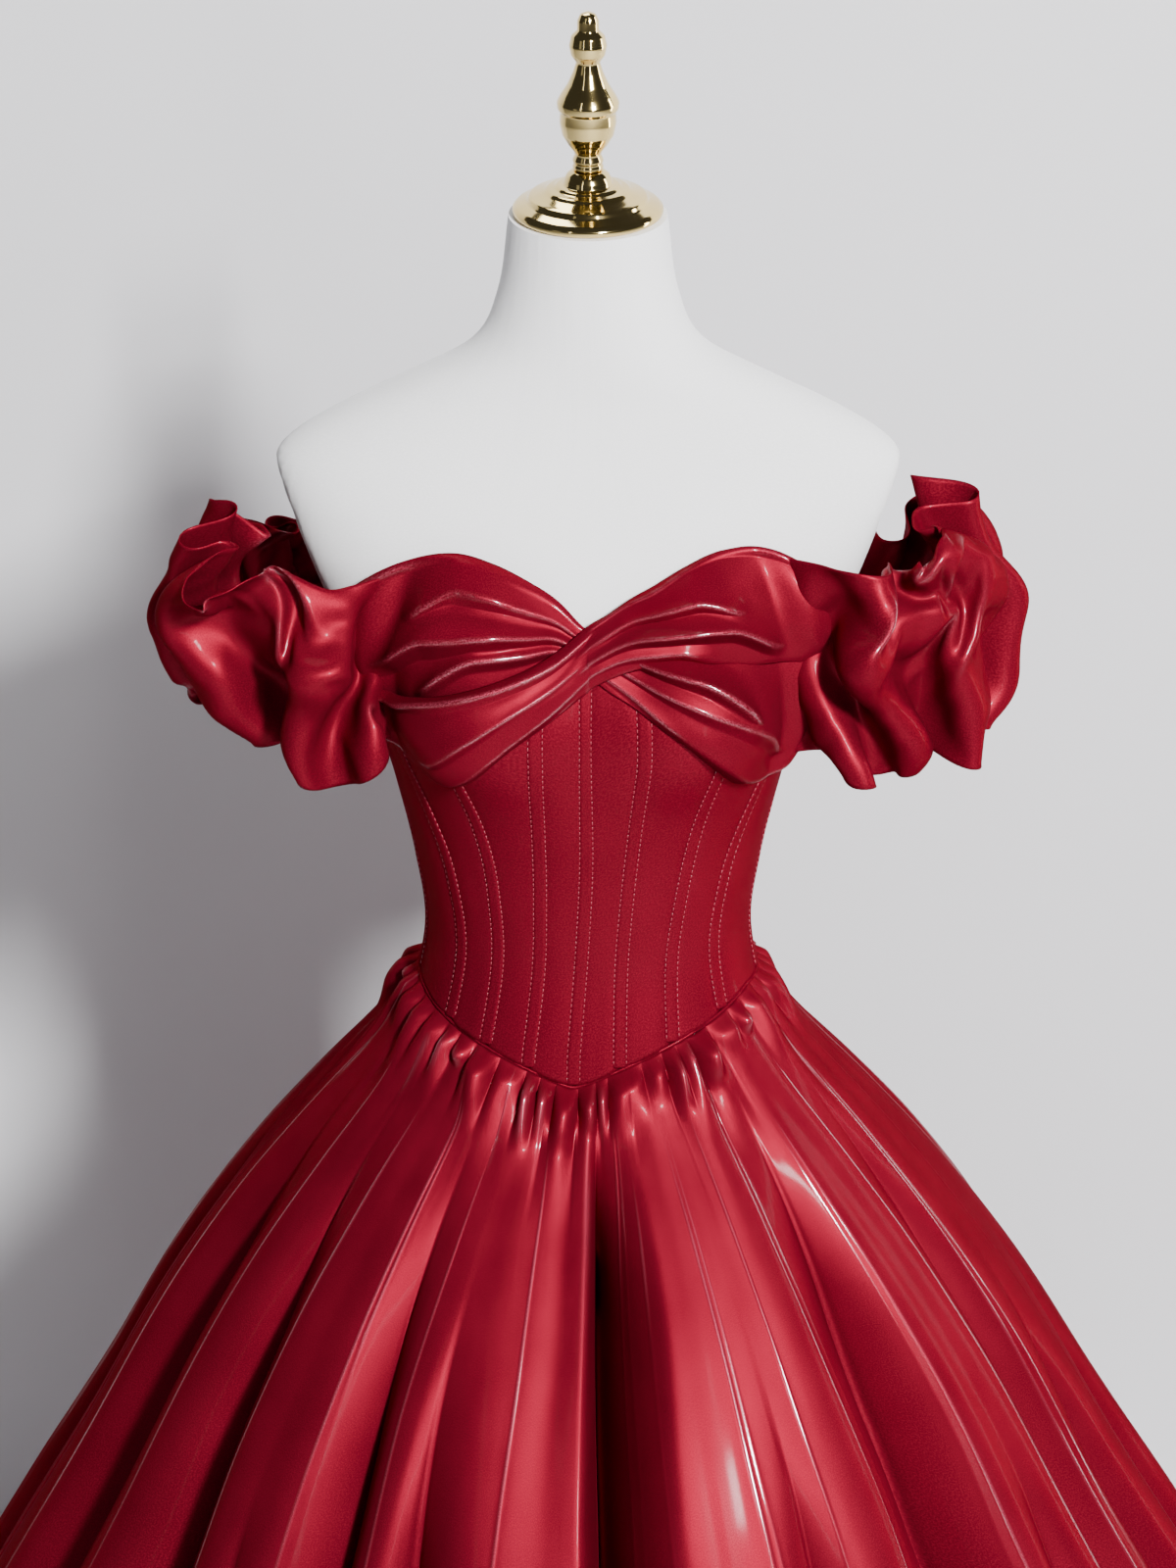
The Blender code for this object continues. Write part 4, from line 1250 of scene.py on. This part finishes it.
def drape_band(name, rows, pleats):
    def place(u, v):
        angle = mix(rows[0].angle, rows[-1].angle, u)
        height = mix(read(rows, angle, "bottom"), read(rows, angle, "top"), v)
        out = DRAPE_LIFT + mix(read(rows, angle, "bottom_out"), read(rows, angle, "top_out"), v)
        out += max(read(rows, angle, "bulge"), 0.0) * math.sin(math.pi * v) ** 0.7 * 0.8
        hem = ease(min(v, 1 - v) / DRAPE_EDGE)
        out += pleat_height(pleats, angle, v) * (0.55 + 0.45 * hem)
        out += DRAPE_RIPPLE * grain_at(angle / 12, v * 4, 5.0) * hem
        end = ease((abs(angle) - DRAPE_TURN) / 8) * (1 - ease((abs(angle) - DRAPE_FLAT) / DRAPE_FLAT_OVER))
        out += DRAPE_END_LIFT * end * math.sin(math.pi * mix(0.12, 0.88, v))
        height -= 0.004 * grain_at(angle / 24, v * 2.0, 8.0) * hem
        return off_form(angle, height, out)

    lay_cloth(
        name, DRAPE_COLUMNS, DRAPE_LINES, place, DRAPE_SIZE, DRAPE_WALL, DRAPE_CUT, "gathered", DRAPE_KEENNESS
    )


drape_band("drape_over", OVER_BAND, OVER_PLEATS)
drape_band("drape_under", UNDER_BAND, UNDER_PLEATS)

# %% [markdown]
# ## The sleeves
#
# Each sleeve is a deep ruffle: a long strip of crisp satin, pushed up into folds and tacked here and
# there. No formula crumples as cloth does, so a wavy strip is handed to Blender's cloth simulation. The
# tacks are pinned, the cloth is told to be larger than it is, and it has to buckle.

# %% Sleeve tables
SLEEVE_PATH = table(
    "place x y middle height",
    (0, 0.139, -0.074, 1.258, 0.122), (1, 0.174, -0.091, 1.262, 0.138), (2, 0.212, -0.075, 1.264, 0.146),
    (3, 0.238, -0.039, 1.264, 0.146), (4, 0.245, 0.004, 1.262, 0.14), (5, 0.234, 0.046, 1.252, 0.128),
    (6, 0.203, 0.079, 1.244, 0.118), (7, 0.164, 0.094, 1.232, 0.108), (8, 0.13, 0.076, 1.222, 0.1),
)
SLEEVE_WAVES = 7
WAVE_DEPTH = 0.020
WAVE_SHIFT = 0.006
SLEEVE_PUFF = 0.013
SLEEVE_DRIFT = 0.020
SLEEVE_FRILL = 0.016
SLEEVE_FRONT = 61.0
SLEEVE_FRONT_OUT = 0.0095
SLEEVE_BACK = 116.0
SLEEVE_SEAT = 0.04
SLEEVE_GROW = 0.11
SLEEVE_COLUMNS = 74
SLEEVE_LINES = 14
SLEEVE_SIZE = (0.85, 0.16)
SLEEVE_CUT = (0.95, 0.17)
SLEEVE_WALL = 0.0009
SLEEVE_KEENNESS = 0.85
SLEEVE_FRAMES = 30
TACK_EVERY = 12
TACK_LINES = (4, 10, 7)


# %% Cloth simulation
SATIN_CLOTH = {
    "quality": 6, "mass": 0.0002, "tension_stiffness": 12, "compression_stiffness": 12,
    "shear_stiffness": 4, "bending_stiffness": 4, "tension_damping": 6, "compression_damping": 6,
    "shear_damping": 6, "bending_damping": 1, "air_damping": 2, "shrink_min": -SLEEVE_GROW,
}
SATIN_TOUCH = {
    "use_collision": False, "use_self_collision": True, "self_distance_min": 0.005,
    "self_friction": 2, "collision_quality": 2,
}
CLOTH_GRAVITY = 0.3


def settle(piece, pinned, frames):
    """Lets a sheet buckle while the pinned points hold. It is simulated coarse, so that it folds broadly,
    and smoothed by subdivision afterwards."""
    piece.vertex_groups.new(name="held").add(pinned, 1.0, "REPLACE")
    cloth = piece.modifiers.new("cloth", "CLOTH")
    cloth.settings.vertex_group_mass = "held"
    for owner, values in ((cloth.settings, SATIN_CLOTH), (cloth.collision_settings, SATIN_TOUCH)):
        for key, value in values.items():
            setattr(owner, key, value)
    cloth.settings.effector_weights.gravity = CLOTH_GRAVITY
    cloth.point_cache.frame_end = max(frames, 1)
    cloth.show_viewport = cloth.show_render = frames > 0
    smooth = piece.modifiers.new("smooth", "SUBSURF")
    smooth.levels = smooth.render_levels = 2
    scene = bpy.context.scene
    for step in range(1, frames + 1):
        scene.frame_set(step)
    graph = bpy.context.evaluated_depsgraph_get()
    settled = bpy.data.meshes.new_from_object(piece.evaluated_get(graph))
    scene.frame_set(1)
    piece.modifiers.clear()
    piece.vertex_groups.clear()
    coarse, name = piece.data, piece.data.name
    piece.data = settled
    bpy.data.meshes.remove(coarse)
    settled.name = name
    settled.shade_smooth()
    mesh = bmesh.new()
    mesh.from_mesh(settled)
    mark_crests(mesh, SLEEVE_KEENNESS, both_ways=True)
    mesh.to_mesh(settled)
    mesh.free()


# %% Sleeve
def sleeve_path(place):
    return Vector((read(SLEEVE_PATH, place, "x"), read(SLEEVE_PATH, place, "y"), 0))


def sleeve(name, side, seed, tall):
    last = SLEEVE_PATH[-1].place

    def place(u, v):
        along = u if side > 0 else 1 - u
        station = along * last
        tangent = (sleeve_path(station + 0.05) - sleeve_path(station - 0.05)).normalized()
        outwards = Vector((tangent.y, -tangent.x, 0))
        bow = 2 * v - 1
        lean = 0.9 * grain_at(along * 3.3, bow * 0.9, seed)
        lean += 0.35 * bow * math.sin(7 * along + 4 * seed)
        phase = math.tau * (SLEEVE_WAVES * along + seed + lean)
        ends = ease(along / 0.12) * ease((1 - along) / 0.08)
        depth = WAVE_DEPTH * (1 + 0.5 * grain_at(along * 7, seed, 3))
        out = ends * (depth * math.sin(phase) + SLEEVE_PUFF * (1 - bow * bow))
        out += ends * SLEEVE_DRIFT * grain_at(along * 7, bow * 1.6, seed + 2)
        shift = -ends * WAVE_SHIFT * math.sin(2 * phase)
        point = sleeve_path(station) + outwards * out + tangent * shift
        height = read(SLEEVE_PATH, station, "middle")
        height += bow * tall * read(SLEEVE_PATH, station, "height") / 2
        point.z = height + SLEEVE_FRILL * ends * abs(bow) * grain_at(along * 10, bow, seed + 5)
        front = off_form(SLEEVE_FRONT, height, SLEEVE_FRONT_OUT)
        back = off_form(SLEEVE_BACK, height, BODICE_EASE + PANEL_WALL + 0.0008)
        point = point.lerp(front, 1 - ease(along / SLEEVE_SEAT))
        point = point.lerp(back, 1 - ease((1 - along) / SLEEVE_SEAT))
        point.x *= side
        return point

    mesh = sheet_mesh(SLEEVE_COLUMNS, SLEEVE_LINES, place, *SLEEVE_SIZE)
    pinned = []
    for index in range(len(mesh.verts)):
        line, column = divmod(index, SLEEVE_COLUMNS + 1)
        tack = TACK_LINES[column // TACK_EVERY % len(TACK_LINES)]
        if column in (0, SLEEVE_COLUMNS) or (column % TACK_EVERY == TACK_EVERY // 2 and line == tack):
            pinned.append(index)
    piece = add_piece(f"{name}_cloth", mesh, satin, replaces=[name])
    settle(piece, pinned, SLEEVE_FRAMES)
    thick = piece.modifiers.new("wall", "SOLIDIFY")
    thick.thickness = SLEEVE_WALL
    thick.offset = 0
    declare_cloth(piece, *SLEEVE_CUT, "gathered", ["drape_over", "drape_under"])


sleeve("sleeve_l", 1, 0.15, 1.05)
sleeve("sleeve_r", -1, 0.45, 0.88)

# %% [markdown]
# ## Sizes, side by side
#
# Cloth may stand a little proud of its solid, but the object must keep its size. The two boxes are
# compared here, and the difference at each end of each axis is printed.

# %% Compare the boxes and finish
dressed_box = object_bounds()
for axis, name in enumerate("xyz"):
    low = dressed_box[0][axis] - solid_box[0][axis]
    high = dressed_box[1][axis] - solid_box[1][axis]
    print(name, "low", round(low * 1000, 1), "mm, high", round(high * 1000, 1), "mm")
